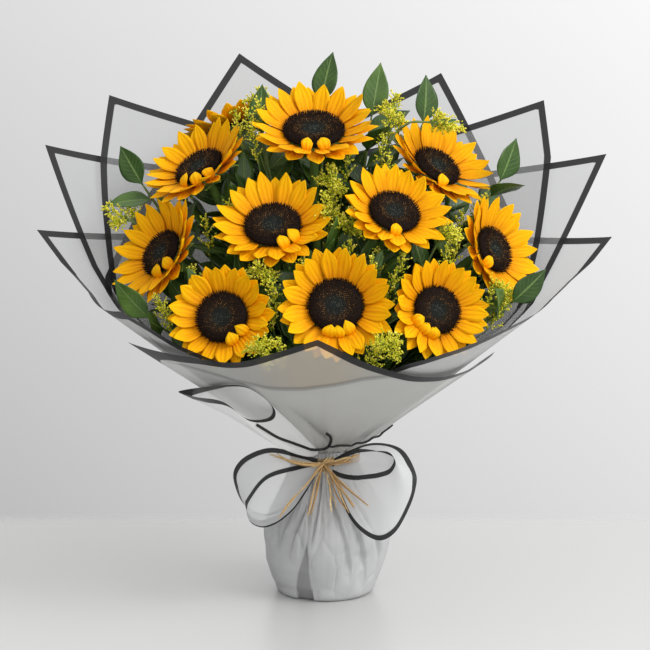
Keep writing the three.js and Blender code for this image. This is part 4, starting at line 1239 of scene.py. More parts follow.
def filling_path(k, lining, draw):
    """A clear way for a twig from the tie up to its end, and the side on which the film lies."""
    for spare in range(FILLING_TRIES):
        bearing = (k * GOLDEN_ANGLE + draw.normal(0, BEARING_STRAY)) % (2 * math.pi) - math.pi
        if lining:
            bearing *= LINING_SPREAD
        outermost = float(steepness(bearing)) - LINING_CLEARANCE
        lean = outermost - draw.uniform(0, LINING_DEEPER)
        outward = cone_line(np.array([bearing]))[2][0]
        if not lining:
            lean = WIDEST_INNER_LEAN * math.sqrt((k + 0.5) / FILLING_TWIGS)
            lean = min(lean, outermost - INNER_CLEARANCE)
            outward = np.zeros(3)
        side = np.array([math.sin(bearing), math.cos(bearing), 0])
        direction = side * math.sin(lean) + np.array([0, 0, math.cos(lean)])
        height = canopy(direction) * draw.uniform(*FILLING_HEIGHTS) * (1 - HEIGHT_LOST * spare)
        end = TIE_TOP + direction * height
        if k < len(GAP_ENDS):
            end = GAP_ENDS[k] + draw.normal(0, 1 + spare, 3)
        path = shoot_path(end, draw, TWIG_BOW)
        if clear_path(path):
            return path, outward
    return None, None


def twig_along(path, thick, thin, sides):
    radii = np.linspace(thick, thin, len(path))
    return woven("twig", bar_rings(path, radii, sides), {}, closed=True, capped=True)


def filling(name, twigs, crown, finish):
    """A piece of twigs with what they carry, which no node has."""
    twig = joined(*twigs)
    twig.name = name
    twig.data.name = name
    piece = on_twig(twig, crown, finish)
    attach(piece, "root")


def filling_twigs(number):
    copies, tones, twigs = [], [], []
    for k in range(number * FILLING_TWIGS // FILLING_PIECES, (number + 1) * FILLING_TWIGS // FILLING_PIECES):
        draw = np.random.default_rng(TWIG_SEED + k)
        path, outward = filling_path(k, k % LINING_CYCLE >= INNER_IN_CYCLE, draw)
        if path is None:
            continue
        twigs.append(twig_along(path, *TWIG_BAR))
        for j in range(LEAVES_A_TWIG):
            share = LEAVES_FROM + (1 - LEAVES_FROM) * (j + draw.random()) / LEAVES_A_TWIG
            at = share * (len(path) - 1)
            low = min(int(at), len(path) - 2)
            along = path[low + 1] - path[low]
            leaf = filling_leaf(path[low] + along * (at - low), unit(along), outward, draw)
            if leaf is not None:
                copies.append(leaf)
                tones.append(draw.random() ** 1.3)
    side, share, _ = blade_measures(filling_shape[0])
    measures = {"along": [share] * len(copies), "across": [side] * len(copies), "tone": tones}
    leaves = grown("leaves", filling_shape, copies, measures)
    filling("filling_leaves_%02d" % (number + 1), twigs, leaves, leaf_finish)


for k in range(FILLING_PIECES):
    filling_twigs(k)


def filling_plume(tip, draw):
    """A clear way up to a plume's end, and the plume's own length and direction."""
    first, wider = PLUME_STRAY
    for spare in range(PLUME_TRIES):
        end = np.array(tip, float) + draw.normal(0, first + wider * spare, 3)
        ahead = unit(end - TIE_TOP) * PLUME_OUTWARD + PLUME_UPWARD + draw.normal(0, PLUME_TURN, 3)
        ahead *= PLUME_LENGTH * draw.uniform(*PLUME_SIZES) / np.linalg.norm(ahead)
        path = np.concatenate([shoot_path(end - ahead, draw, PLUME_BOW), [end - ahead / 2, end]])
        if clear_path(path) and not before_blooms(path[-PLUME_END:], PLUME_MARGIN).any():
            return path, ahead
    return None, None


def filling_goldenrod(number, tips):
    draw = np.random.default_rng(PLUME_SEED + number)
    copies, tones, twigs = [], [], []
    for tip in tips:
        path, ahead = filling_plume(tip, draw)
        if path is None:
            continue
        twigs.append(twig_along(path, *PLUME_BAR))
        more, shades = plume(path[-1] - ahead, ahead, np.zeros(3), draw)
        copies += more
        tones += shades
    middles = np.array([copy.mean(0) for copy in copies])
    hiding = before_blooms(middles, FLORET_MARGIN)
    kept = [
        k for k, middle in enumerate(middles)
        if not hiding[k] and flowers.find_nearest(Vector(middle), FLORET_CLEARANCE)[0] is None
    ]
    florets = grown("grains", grain_shape, [copies[k] for k in kept], {"tone": [tones[k] for k in kept]})
    filling("filling_goldenrod_%02d" % number, twigs, florets, plume_finish)


for k in range(FILLING_PIECES_OF_GOLDENROD):
    filling_goldenrod(k + 1, FILLING_PLUMES[k::FILLING_PIECES_OF_GOLDENROD])

# Wrapping film
# Frosted film, 0.05 mm thick, printed with a black edge. Each back and side piece is one square, folded at
# the tie so that two of its corners stand up. The front sheet goes round outside them, and raffia holds all.
FILM_PITCH = 1.2
FILM_OPENING = 0.009
FILM_STAND = 0.375
FILM_WAIST = 60
WAIST_RISE = 0.2
FILM_ROWS = 56
ROW_EASING = 0.85
NECK_LEVELS = (TIE_LOW - 0.4, (TIE_LOW + TIE_HIGH) / 2)
NECK_AWAY = 60.0
BORDER = 7.2
BORDER_BLACK = (0.018, 0.018, 0.019)
BORDER_SOFTNESS = 0.35
LIGHTER_CLOUD = 1.12
FOLD_LINE = (1, 36)
SIDE_BORDER_WIDENS = ([0, 54, 74, 90, 110], [1, 1, 0.5, 0.55, 0.8])
MIST_FROM_TO = [64, 82]
MIST_GREY = (0.62, 0.62, 0.612)
MIST_HIDES = 0.42
FOLD_ZERO = 100
FOLD_GREY = (0.16, 0.16, 0.16)
# A warm tan painted on the single front film where petals lie behind it: a painted glow of their light.
PETAL_GLOW_TAN = (0.62, 0.5, 0.36)
SHADE_GREY = (0.1, 0.1, 0.098)
FOLD_DARKENS = 0.45
PETAL_GLOW_SHARE = 0.55
SINGLE_CLEARER = 0.12
BORDER_HIDES = 0.97
WAVES = [(1.5, 3, 0.7, 0), (1.1, 7, 2.1, 0.004)]
WAVES_GROW = 240
GATHERS = [(1.5, 17, 0.4), (1.1, 29, 1.3), (0.7, 43, 0)]
GATHERS_START = 14
GATHERS_FADE = 55
CONE_STEPS = 720

cone_bearings = np.linspace(0, math.pi, CONE_STEPS + 1)
cone_sides = cone_line(cone_bearings)[1]
cone_steps = np.degrees(np.linalg.norm(np.diff(cone_sides, axis=0), axis=1))
cone_opened = np.concatenate([[0], np.cumsum(cone_steps)])
HALF_CONE = cone_opened[-1]


def bearing_of(opened):
    """Angle round the bunch, from the back, of an angle on the opened-out sheet."""
    folded = np.where(opened > HALF_CONE, opened - 2 * HALF_CONE, opened)
    return np.sign(folded) * np.interp(np.abs(folded), cone_opened, cone_bearings)


def ripple(bearing, run):
    """Soft waves that every layer shares, and the gathers that start at the tie."""
    wave = sum(tall * np.sin(count * bearing + phase + run * turn) for tall, count, phase, turn in WAVES)
    gathers = sum(tall * np.sin(count * bearing + phase) for tall, count, phase in GATHERS)
    gathers = gathers * np.exp(-run / GATHERS_FADE) * np.clip(run / GATHERS_START, 0, 1)
    return wave * np.clip(run / WAVES_GROW, 0, 1.2) ** 1.3 + gathers


def film_point(opened, run, stand):
    """Place on the wrap in millimetres: an opened-out angle, a run up from the tie and a stand-off."""
    bearing = bearing_of(opened)
    outward, along, face, _ = cone_line(bearing)
    lifted = stand + ripple(bearing, run)
    return outward * TIE_RADIUS + along * run[..., None] + face * lifted[..., None] + TIE_TOP


def start_of(opened):
    return cone_line(bearing_of(opened))[3]


def straight_edge(outline, opened):
    """Reach of the sheet's straight edges at each angle."""
    reach = np.zeros_like(opened)
    for (low, near, *_), (high, far, *_) in zip(outline, outline[1:]):
        here = (opened >= low) & (opened <= high)
        width = math.radians(high - low)
        rest = near * np.sin(np.radians(opened - low)) + far * np.sin(np.radians(high - opened))
        reach = np.where(here, near * far * math.sin(width) / np.maximum(rest, 1e-9), reach)
    return reach


def on_flat(opened, reach):
    turn = np.radians(opened)
    return np.stack([reach * np.sin(turn), reach * np.cos(turn)], -1)


def edge_distance(opened, reach, edge_opened, edge_reach):
    """Distance of points from the sheet's edge, measured on the flat sheet."""
    points = on_flat(opened, reach).reshape(-1, 1, 2)
    edge = on_flat(edge_opened, edge_reach)
    start, end = edge[:-1], edge[1:]
    side = end - start
    share = ((points - start) * side).sum(-1) / np.maximum((side * side).sum(-1), 1e-9)
    nearest = start + np.clip(share, 0, 1)[..., None] * side
    return np.linalg.norm(points - nearest, axis=-1).min(1).reshape(opened.shape)


def rows_between(start, edge):
    """Reaches from the tie up to the sheet's edge, closer together near the edge."""
    return start + (edge - start) * np.linspace(0, 1, FILM_ROWS)[:, None] ** ROW_EASING


def risen(run, waist, edge_run):
    """Share of its whole stand-off that a sheet has at a run up from the tie."""
    above = WAIST_RISE + (1 - WAIST_RISE) * (run - waist) / (edge_run - waist)
    return np.where(run < waist, WAIST_RISE * run / waist, above)


def flap(outline, layer, columns, edge_of=straight_edge):
    """Points and edge distances of one layer, from the fold at the tie up to the sheet's edge."""
    opened = np.array(columns)
    edge = edge_of(outline, opened)
    lifts = np.interp(opened, [mark[0] for mark in outline], [[*mark, 0][2] for mark in outline])
    start = start_of(opened)
    edge_run = edge - start
    run = np.linspace(0, 1, FILM_ROWS)[:, None] ** ROW_EASING * edge_run
    angle = np.broadcast_to(opened, run.shape)
    rise = risen(run, np.minimum(FILM_WAIST, 0.6 * edge_run), edge_run)
    stand = layer * (FILM_PITCH + FILM_OPENING * run) + lifts * rise + FILM_STAND
    points = film_point(angle, run, stand)
    distance = edge_distance(angle, run + start, opened, edge)
    outward = cone_line(bearing_of(opened))[0]
    neck = np.stack([
        outward * (TIE_RADIUS + layer * FILM_PITCH + FILM_STAND) + np.array([0, 0, height])
        for height in NECK_LEVELS
    ])
    away = np.full((2, len(columns)), NECK_AWAY)
    return np.concatenate([neck, points]), np.concatenate([away, distance])


def film_area(outline):
    """Area of a flap cut flat, in square metres."""
    return sum(
        near * far * math.sin(math.radians(high - low)) / 2
        for (low, near, *_), (high, far, *_) in zip(outline, outline[1:])
    ) * MM * MM


def film_finish(name, frost, grey, border=BORDER, doubled=False, glow=0):
    """Film with a black edge. frost is how much one layer hides of what is behind it."""
    finish = Finish(name, roughness=0.5, specular_ior_level=0.12, emission_strength=glow)
    black = 1 - finish.attribute("rim").step(border - BORDER_SOFTNESS, border + BORDER_SOFTNESS)
    place = finish.object_place()
    body = finish.clouded(finish.noise(place, 7, 3), grey, tuple(LIGHTER_CLOUD * c for c in grey))
    misted = finish.attribute("misted")
    body = finish.blend(misted, body, MIST_GREY)
    frost = misted * MIST_HIDES + frost
    if doubled:
        above = finish.attribute("fold") - FOLD_ZERO
        line = 1 - (above * above).step(*FOLD_LINE)
        single = above.step(-1, 1)
        # Painted glow of the petals' light, on the single film above the fold.
        body = finish.blend(finish.attribute("warmth") * single * PETAL_GLOW_SHARE, body, PETAL_GLOW_TAN)
        body = finish.blend(line * FOLD_DARKENS, body, FOLD_GREY)
        # Painted fold shadows near the neck.
        body = finish.blend(finish.attribute("shaded"), body, SHADE_GREY)
        frost = frost - single * SINGLE_CLEARER
    finish.drive("Base Color", finish.blend(black, body, BORDER_BLACK))
    finish.drive("Alpha", frost + black * (BORDER_HIDES - frost))
    # A faint glow of the film's own colour: painted light, for light that passes through the film.
    if glow:
        finish.drive("Emission Color", finish.blend(black, body, (0, 0, 0)))
    finish.drive("Roughness", 0.5 - black * 0.12)
    crease = finish.noise(finish.stretched(place, (1, 1, 0.35)), 26, 3)
    finish.drive("Normal", finish.bump(crease, 0.12, 0.004))
    return finish


# The back and side sheets are darker grey than the front sheet of the same film: painted shade inside the
# bunch.
back_film = film_finish("frosted_film", 0.42, (0.34, 0.345, 0.35))


def film_piece(node, grid, measures, area, finish, closed=False, hem=None):
    piece = woven(node + "_film", grid, measures, closed)
    if hem is not None:
        piece = joined(piece, hem)
    painted(piece, finish)
    stands_for(piece, node)


FOLDED_SHEETS = {
    "wrap_back_left": (
        0,
        [[-64, 246], [-54, 285], [-44.6, 326], [-36.1, 388], [-29.5, 445], [0, 326]],
        [[-64, 270], [-52, 296], [-10.6, 450], [0, 381]],
    ),
    "wrap_back_right": (
        0,
        [[0, 326], [30.5, 441], [36.5, 391], [45.2, 318], [52.9, 274], [64, 238]],
        [[0, 357], [14.8, 436], [50, 290], [64, 262]],
    ),
    "wrap_left": (
        2,
        [[-124.7, 120], [-88, 150], [-66, 228], [-56.2, 269], [-51.3, 312], [-40.4, 434], [-6, 309]],
        [
            [-124.7, 183], [-107, 190], [-98, 226], [-92, 242], [-89, 250], [-86, 281], [-83, 304],
            [-76, 298], [-67, 296], [-60, 302], [-56, 320], [-52.2, 377], [-6, 266],
        ],
    ),
    "wrap_right": (
        2,
        [[-6, 305], [42, 427], [51.9, 293], [57, 260], [66, 222], [88, 150], [124.7, 120]],
        [
            [-6, 274], [53.3, 372], [57, 314], [61, 292], [68, 281], [76, 284], [83, 278], [89, 266],
            [98, 248], [105, 234], [113, 212], [124.7, 184],
        ],
    ),
}
PEAK_REACH = 2.4
PEAK_STEP = 0.4
COLUMN_STEP = 1.3


def columns_for(*outlines):
    """Angles close together, closest at the peaks, with one on every corner of the outlines."""
    peaks = [max(outline, key=lambda mark: mark[1])[0] for outline in outlines]
    near = [peak + side for peak in peaks for side in (-PEAK_REACH, PEAK_REACH)]
    marks = sorted({mark[0] for outline in outlines for mark in outline} | set(near))
    angles = [marks[0]]
    for low, high in zip(marks, marks[1:]):
        sharp = any(abs((low + high) / 2 - peak) < PEAK_REACH for peak in peaks)
        count = max(1, round((high - low) / (PEAK_STEP if sharp else COLUMN_STEP)))
        angles += list(np.linspace(low, high, count + 1)[1:])
    return angles


for node, (layer, inner, outer) in FOLDED_SHEETS.items():
    columns = columns_for(inner, outer)
    inner_points, inner_rim = flap(inner, layer, columns)
    outer_points, outer_rim = flap(outer, layer + 1, columns)
    rim = np.concatenate([inner_rim[::-1], outer_rim]) * np.interp(np.abs(columns), *SIDE_BORDER_WIDENS)
    misted = np.broadcast_to(np.interp(np.abs(columns), MIST_FROM_TO, [0, 1]), rim.shape)
    film_piece(
        node, np.concatenate([inner_points[::-1], outer_points]), {"rim": rim, "misted": misted},
        film_area(inner) + film_area(outer), back_film,
    )

# Front sheet
# The same film, wrapped from right to left round the outside. Its corner stands up in the middle, and its
# edge dips at each side of it. Low down its edge turns over in a narrow strip, and shows its black border.
FRONT_OUTLINE = [
    [60, 214, 5], [78, 204, 4], [92, 207, 3], [107, 225, 2], [118, 256, 2],
    [126.2, 299, 2], [134, 272, 2], [144, 244, 2], [158, 241, 3], [176, 258, 9],
]
FRONT_PEAK = 5
FRONT_LAYER = 4
FRONT_BORDER = 9.5
FRONT_BORDER_WIDENS = ([60, 68, 78, 140, 168, 176], [0.5, 0.6, 1, 1, 0.5, 0.22])
HEM = [
    [122.5, 76, 2.4], [119.5, 70.5, 2.2], [112, 70, 2], [98, 70, 2], [82, 72, 2], [69, 78, 2], [62, 90, 2],
]
HEM_WIDTH = 2.2
HEM_STEPS = 60
# Painted shadows of two folds on the front sheet: reaches, the angle of the dark line, and how soft it is.
SHADED_FOLDS = [
    ([70, 90, 110, 136, 162], [120, 127, 131, 135.5, 139.5], 9),
    ([66, 98, 124], [91.5, 89.7, 89.3], -7),
]
FOLD_BEHIND = (
    [60, 95, 107.7, 115.1, 121.6, 131, 140.9, 150.4, 159.3, 176],
    [196, 214, 220, 216, 206, 196, 193, 201, 213, 240],
)
# Where the painted glow of the petals is strongest on the front sheet, and how far it spreads.
PETAL_GLOW_MIDDLE = 127
PETAL_GLOW_REACH = 13


def front_edge(outline, opened):
    """Reach of the front sheet's edge: a soft curve at each side of its corner."""
    reach = np.zeros_like(opened)
    for side in (outline[:FRONT_PEAK + 1], outline[FRONT_PEAK:]):
        marks = np.array([mark[0] for mark in side], float)
        reaches = np.array([mark[1] for mark in side], float)
        slopes = np.gradient(reaches, marks)
        here = (opened >= marks[0]) & (opened <= marks[-1])
        k = np.clip(np.searchsorted(marks, opened) - 1, 0, len(marks) - 2)
        step = marks[k + 1] - marks[k]
        t = (opened - marks[k]) / step
        eased = (
            (2 * t ** 3 - 3 * t ** 2 + 1) * reaches[k]
            + (t ** 3 - 2 * t ** 2 + t) * step * slopes[k]
            + (3 * t ** 2 - 2 * t ** 3) * reaches[k + 1]
            + (t ** 3 - t ** 2) * step * slopes[k + 1]
        )
        reach = np.where(here, eased, reach)
    return reach


# Lighter grey than the back sheets, as a double layer and as painted light on its lit front, with a painted
# glow.
front_film = film_finish("front_film", 0.82, (0.53, 0.53, 0.512), FRONT_BORDER, True, 0.03)


def front_face(opened, reach):
    """Distance of the front sheet's outer face from the cone."""
    marks = np.array([mark[0] for mark in FRONT_OUTLINE])
    end = min(opened, marks[-1])
    start = start_of(np.array([opened]))[0]
    edge = front_edge(FRONT_OUTLINE, np.array([end]))[0] - start
    run = reach - start
    lift = np.interp(end, marks, [mark[2] for mark in FRONT_OUTLINE])
    share = risen(run, FILM_WAIST, edge)
    return FRONT_LAYER * (FILM_PITCH + FILM_OPENING * run) + 2 * FILM_STAND + lift * share


def on_front(marks):
    """Places given by opened-out angle, reach and height above the front sheet."""
    places = []
    for opened, reach, lift in marks:
        angle = np.array([opened])
        run = np.array([reach]) - start_of(angle)
        places.append(film_point(angle, run, np.array([front_face(opened, reach) + lift]))[0])
    return np.array(places)


def spline(a, b, c, d, s):
    """Points from b to c, at shares s of the way, on a smooth curve that comes from a and goes on to d."""
    square = (2 * a - 5 * b + 4 * c - d) * s ** 2
    return 0.5 * (2 * b + (c - a) * s + square + (3 * b - 3 * c + d - a) * s ** 3)


def smooth_line(marks, count):
    """Points on a smooth open curve through the marks, evenly spaced."""
    marks = np.array(marks, float)
    marks = np.concatenate([2 * marks[:1] - marks[1:2], marks, 2 * marks[-1:] - marks[-2:-1]])
    t = np.linspace(0, len(marks) - 3, count * 6)
    k = np.minimum(np.floor(t).astype(int), len(marks) - 4)
    line = spline(*[marks[k + step] for step in range(4)], (t - k)[:, None])
    along = np.concatenate([[0], np.cumsum(np.linalg.norm(np.diff(line, axis=0), axis=1))])
    even = np.linspace(0, along[-1], count)
    return np.stack([np.interp(even, along, line[:, axis]) for axis in range(3)], -1)


def black_edge(path, width):
    """A narrow strip where the sheet's edge turns over and shows its black border."""
    path = smooth_line(path, HEM_STEPS)
    for _ in range(6):
        path[1:-1] = (path[:-2] + path[1:-1] + path[2:]) / 3
    across = np.cross(np.gradient(path, axis=0), np.array([0.0, -1.0, 0.35]))
    across *= width / 2 / np.linalg.norm(across, axis=1)[:, None]
    strip = np.stack([path - across, path + across], 1)
    return woven("black_edge", strip, {"rim": np.zeros(strip.shape[:2])})


def front_measures(columns, rim):
    """Front sheet's finish: its border, two painted fold shadows, the fold behind and a painted petal glow.
    """
    reach = rows_between(start_of(columns), front_edge(FRONT_OUTLINE, columns))
    reach = np.concatenate([np.full((2, len(columns)), 20.0), reach])
    shaded = 0 * reach
    # Each painted shadow is sharp on one side of its line and fades on the other.
    for reaches, angles, softness in SHADED_FOLDS:
        away = np.radians(np.interp(reach, reaches, angles) - columns) * reach
        aside = away / abs(softness) * np.sign(softness)
        dark = np.where(aside > 0, np.exp(-aside), np.exp(aside * 5))
        ends = np.clip((reach - reaches[0]) / 15, 0, 1) * np.clip((reaches[-1] - reach) / 50, 0, 1)
        shaded = shaded + 0.62 * dark * ends
    fold = reach - np.interp(columns, *FOLD_BEHIND) + FOLD_ZERO
    warmth = np.broadcast_to(np.exp(-((columns - PETAL_GLOW_MIDDLE) / PETAL_GLOW_REACH) ** 2), reach.shape)
    rim = rim * np.interp(columns, *FRONT_BORDER_WIDENS)
    return {"rim": rim, "shaded": shaded, "fold": fold, "warmth": warmth}


front_columns = np.array(columns_for(FRONT_OUTLINE))
front_points, front_rim = flap(FRONT_OUTLINE, FRONT_LAYER, front_columns, front_edge)
film_piece(
    "wrap_front", front_points, front_measures(front_columns, front_rim), film_area(FRONT_OUTLINE),
    front_film, hem=black_edge(on_front(smooth_line(HEM, 40)), HEM_WIDTH),
)

# Cornet
# The lower left edge of the front sheet is rolled into a cornet, which opens up and to the left. Its black
# edge runs round the mouth, and then along the underside to a small hook at the tie.
CORNET_MOUTH = [
    [184.4, 175, 14], [155, 194, 3], [147, 192, 1.5], [144.5, 157, 1.5],
    [146, 147, 10], [150.4, 162, 20], [152, 199, 22], [162, 196, 20],
]
CORNET_ROOT = [
    [142, 58, 0.8], [139, 58, 0.4], [136, 58, 0.4], [133, 58, 0.8],
    [132, 58, 4], [134, 58, 6], [138, 58, 7], [141, 58, 5],
]
CORNET_SIDES = 72
CORNET_ROWS = 34
CORNET_SEAM = [
    [4.88, 0.9], [4.85, 0.75], [4.83, 0.58], [4.64, 0.45], [4.5, 0.33], [4.3, 0.22], [4.12, 0.12],
]
CORNET_SAG = 9
SAGS_TOWARDS = np.array([-0.35, -0.1, -0.93])
CORNET_HUMP = np.array([0.5, -1.5, 1.5])
CORNET_BORDER = [13, 3.5, 3, 5.5, 6.5, 7, 9, 11, 13]
CORNET_AREA = 0.024
HOOK = [[127, 64, 4], [123.6, 68, 3], [121.4, 77, 2.4], [120.8, 89, 2.2], [122, 98, 2], [124.5, 101, 2]]
HOOK_WIDTH = 2.8

# Lighter grey still, with a faint glow: painted light inside the roll, for light that passes through the
# film.
cornet_film = film_finish("cornet_film", 0.62, (0.7, 0.705, 0.7), glow=0.16)


def smooth_ring(marks, count):
    """Points on a smooth closed curve through the marks."""
    t = np.linspace(0, len(marks), count, endpoint=False)
    k = np.floor(t).astype(int)
    return spline(*[marks[(k + step) % len(marks)] for step in (-1, 0, 1, 2)], (t - k)[:, None])


def cornet_seam(grid):
    """The black edge that runs along the underside and on to the hook."""
    seam = []
    for across, along in smooth_line([[*mark, 0] for mark in CORNET_SEAM], 24)[:, :2]:
        row, column = along * (CORNET_ROWS - 1), across * CORNET_SIDES / len(CORNET_MOUTH)
        low, left = int(row), int(column)
        below, above = grid[low:low + 2, left:left + 2]
        pair = below * (low + 1 - row) + above * (row - low)
        seam.append(pair[0] * (left + 1 - column) + pair[1] * (column - left) + np.array([0, -0.9, -0.5]))
    return black_edge(np.concatenate([seam, on_front(HOOK)]), HOOK_WIDTH)


def cornet():
    mouth = smooth_ring(on_front(CORNET_MOUTH), CORNET_SIDES)
    root = smooth_ring(on_front(CORNET_ROOT), CORNET_SIDES)
    share = np.linspace(0, 1, CORNET_ROWS)[:, None, None]
    turn = np.arange(CORNET_SIDES) * len(CORNET_MOUTH) / CORNET_SIDES
    under = np.exp(-((turn - 6.0) / 1.1) ** 2)[None, :, None]
    over = np.exp(-((turn - 2.0) / 1.2) ** 2)[None, :, None]
    bulge = np.sin(math.pi * share ** 0.8)
    grid = root + (mouth - root) * share
    grid = grid + bulge * under * CORNET_SAG * SAGS_TOWARDS + bulge * over * CORNET_HUMP
    wide = np.interp(turn, range(len(CORNET_BORDER)), CORNET_BORDER)
    rim = np.linalg.norm(grid - mouth, axis=-1) * BORDER / wide
    film_piece(
        "wrap_cornet", grid, {"rim": rim}, CORNET_AREA, cornet_film,
        closed=True, hem=cornet_seam(grid),
    )


cornet()

# Bow
# A ribbon of the same film makes a loop at each side of the knot. Both of its long edges are black, and its
# gathered ends are held under the raffia.
BOW_LEFT = (
    [[-7.2, -46, 137], [-25, -52, 134], [-55, -66, 128], [-71, -80, 112], [-75, -88, 102],
     [-71, -92, 91], [-59, -92, 86], [-45, -88, 90], [-31, -80, 100], [-20, -66, 112], [-7.2, -48, 130]],
    [[-7.2, -40, 142], [-25, -42, 148], [-53, -45, 154], [-76, -43, 146], [-88, -40, 133],
     [-89, -42, 119], [-80, -50, 100], [-62, -62, 92], [-44, -66, 98], [-27, -58, 112], [-7.2, -41, 131]],
)
BOW_RIGHT = (
    [[7.5, -45, 135], [25, -56, 149], [39, -64, 154], [59, -76, 157], [66, -80, 151], [62, -78, 141],
     [52, -74, 136], [42, -68, 133], [30, -60, 130], [18, -53, 130], [7.2, -47, 133]],
    [[7.5, -39, 141], [24, -43, 151], [48, -50, 160], [74, -60, 156], [87, -76, 137], [87, -84, 123],
     [80, -92, 104], [66, -99, 82], [48, -96, 75], [25, -82, 91], [7.2, -50, 127]],
)
BOW_STEPS = 90
BOW_COLUMNS = 13
BOW_BORDER = 5.0
BOW_CROWN = 2.0
BOW_GATHER = (0.7, 0.09)
LINING_DEPTH = 9
LINING_GAP = 0.8

bow_film = film_finish("bow_film", 0.6, (0.56, 0.565, 0.57), BOW_BORDER)


def loop_lining(near):
    """The ribbon's inner turn, which shows in the opening of the loop."""
    end = np.argmax(np.abs(near[:, 0]))
    share = np.linspace(0, 1, 30)
    out, back = [
        np.stack([np.interp(share, np.linspace(0, 1, len(side)), side[:, axis]) for axis in range(3)], -1)
        for side in (near[:end + 1], near[end:][::-1])
    ]
    across = np.linspace(0, 1, 9)[None, :, None]
    depth = LINING_DEPTH * np.sin(math.pi * across) * np.sin(math.pi * share * 0.5)[:, None, None] ** 0.5
    grid = out[:, None] * (1 - across) + back[:, None] * across
    grid = grid + (depth + LINING_GAP) * np.array([0, 1, 0])
    return woven("lining", grid, {"rim": np.full(grid.shape[:2], NECK_AWAY)})


def bow_loop(node, edges):
    near, far = [smooth_line(edge, BOW_STEPS) for edge in edges]
    across = np.linspace(0, 1, BOW_COLUMNS)[None, :, None]
    along = np.linspace(0, 1, BOW_STEPS)
    grid = near[:, None] + (far - near)[:, None] * across
    widths = np.linalg.norm(far - near, axis=1)
    normal = units(np.cross(np.gradient((near + far) / 2, axis=0), far - near))
    crown = (1 - (2 * across - 1) ** 2) * np.minimum(widths / 18, BOW_CROWN)[:, None, None]
    depth, reach = BOW_GATHER
    near_knot = (np.exp(-along / reach) + np.exp(-(1 - along) / reach))[:, None, None]
    gather = depth * np.sin(across * 19) * near_knot
    grid = grid + (crown + gather) * normal[:, None]
    rim = np.minimum(across[..., 0], 1 - across[..., 0]) * widths[:, None]
    rim = rim * np.clip(np.abs(normal @ np.array([0, -0.98, 0.17])) * 1.15, 0.4, 1)[:, None]
    piece = joined(woven(node + "_film", grid, {"rim": rim}), loop_lining(near))
    painted(piece, bow_film)
    stands_for(piece, node)


# Raffia
# Dry tan strips of palm fibre, wound round the neck several times, knotted in front and left with loose
# tails. Each strip is a flat, slightly twisted strand, and the tails taper.
RAFFIA_BAND = 33.9
BAND_SINK = 0.4
RAFFIA_TURNS = 6
RAFFIA_LOWEST = 134
RAFFIA_KNOT = np.array([0.0, -41.0, 136.5])
KNOT_LOOPS = 11
TAILS_A_PLACE = 2
RAFFIA_TAILS = [
    (-43, -99, 100), (-14, -90, 99), (10, -88, 103), (21, -94, 103), (29, -102, 107), (41, -105, 110),
    (-52, -56, 149), (-46, -54, 150), (24, -58, 147), (31, -60, 150),
]
HANGING_BELOW = 120
STRAND_SIDES = 6
STRAND_TWIST = 0.12
BAND_WIDTHS = (1.6, 2.6)
KNOT_WIDTHS = (1.8, 3.0)
KNOT_SIZES = (4.6, 6.6)
TAIL_WIDTHS = (2.2, 3.6)
BAND_THICKNESS = 0.9
KNOT_THICKNESS = 1.0
TAIL_THICKNESS = 1.1
BAND_STEPS = 73
BAND_LEAN = 0.05
BAND_STRAY = (-0.4, 0.8)
BAND_WOBBLE = 0.25
BAND_WAVES = 5
KNOT_STEPS = 25
KNOT_TILT = 0.5
KNOT_REACH = 3.4
LOOP_WIDTH = 0.8
LOOP_DEPTH = 0.85
TAIL_STEPS = 22
TAIL_ROOTS = ((-3, 3), (-5, -1), (-3, 3))
TAIL_STRAY = 3
TAIL_ARCH = np.array([0, -7, -3])
TAIL_ARCH_STRAY = 4
HANGING_ARCH = (0.3, -74, 130)
TAIL_WOBBLE = 1.5
TAIL_WAVES = (6, 13)
TAIL_TAPER = 0.55

raffia_finish = Finish("raffia_tan", roughness=0.75, specular_ior_level=0.2)
raffia_grain = raffia_finish.noise(raffia_finish.stretched(raffia_finish.object_place(), (1, 1, 0.5)), 900, 3)
raffia_colour = raffia_finish.ramp(raffia_finish.attribute("tone"), [
    (0.0, (0.36, 0.21, 0.09)), (0.5, (0.58, 0.38, 0.17)), (1.0, (0.76, 0.57, 0.3)),
])
raffia_finish.drive("Base Color", raffia_finish.blend(
    raffia_grain.step(0.4, 0.8) * 0.5, raffia_colour, (0.2, 0.11, 0.04),
))
raffia_finish.drive("Normal", raffia_finish.bump(raffia_grain, 0.5, 0.0006))


def strand(path, width, thickness, draw, taper=True):
    """A flat strip along a path, a little twisted."""
    side = np.array([draw.uniform(-1, 1), draw.uniform(-1, 1), draw.uniform(0.2, 1)])
    turn = all_round(STRAND_SIDES)[:, None]
    twist = draw.uniform(-STRAND_TWIST, STRAND_TWIST)
    rings = []
    for k, (centre, ahead) in enumerate(zip(path, units(np.gradient(path, axis=0)))):
        side = unit(side - ahead * (side @ ahead))
        side = side * math.cos(twist) + np.cross(ahead, side) * math.sin(twist)
        narrow = 1 - TAIL_TAPER * (k / (len(path) - 1)) ** 4 if taper else 1
        one, two = side * width / 2 * narrow, np.cross(ahead, side) * thickness / 2 * narrow
        rings.append(centre + np.cos(turn) * one + np.sin(turn) * two)
    grid = np.array(rings)
    return woven("strand", grid, {"tone": np.full(grid.shape[:2], draw.random())}, closed=True, capped=True)


def jog(draw, reach):
    """A random step of up to a reach along each axis."""
    return np.array([draw.uniform(-reach, reach) for _ in range(3)])


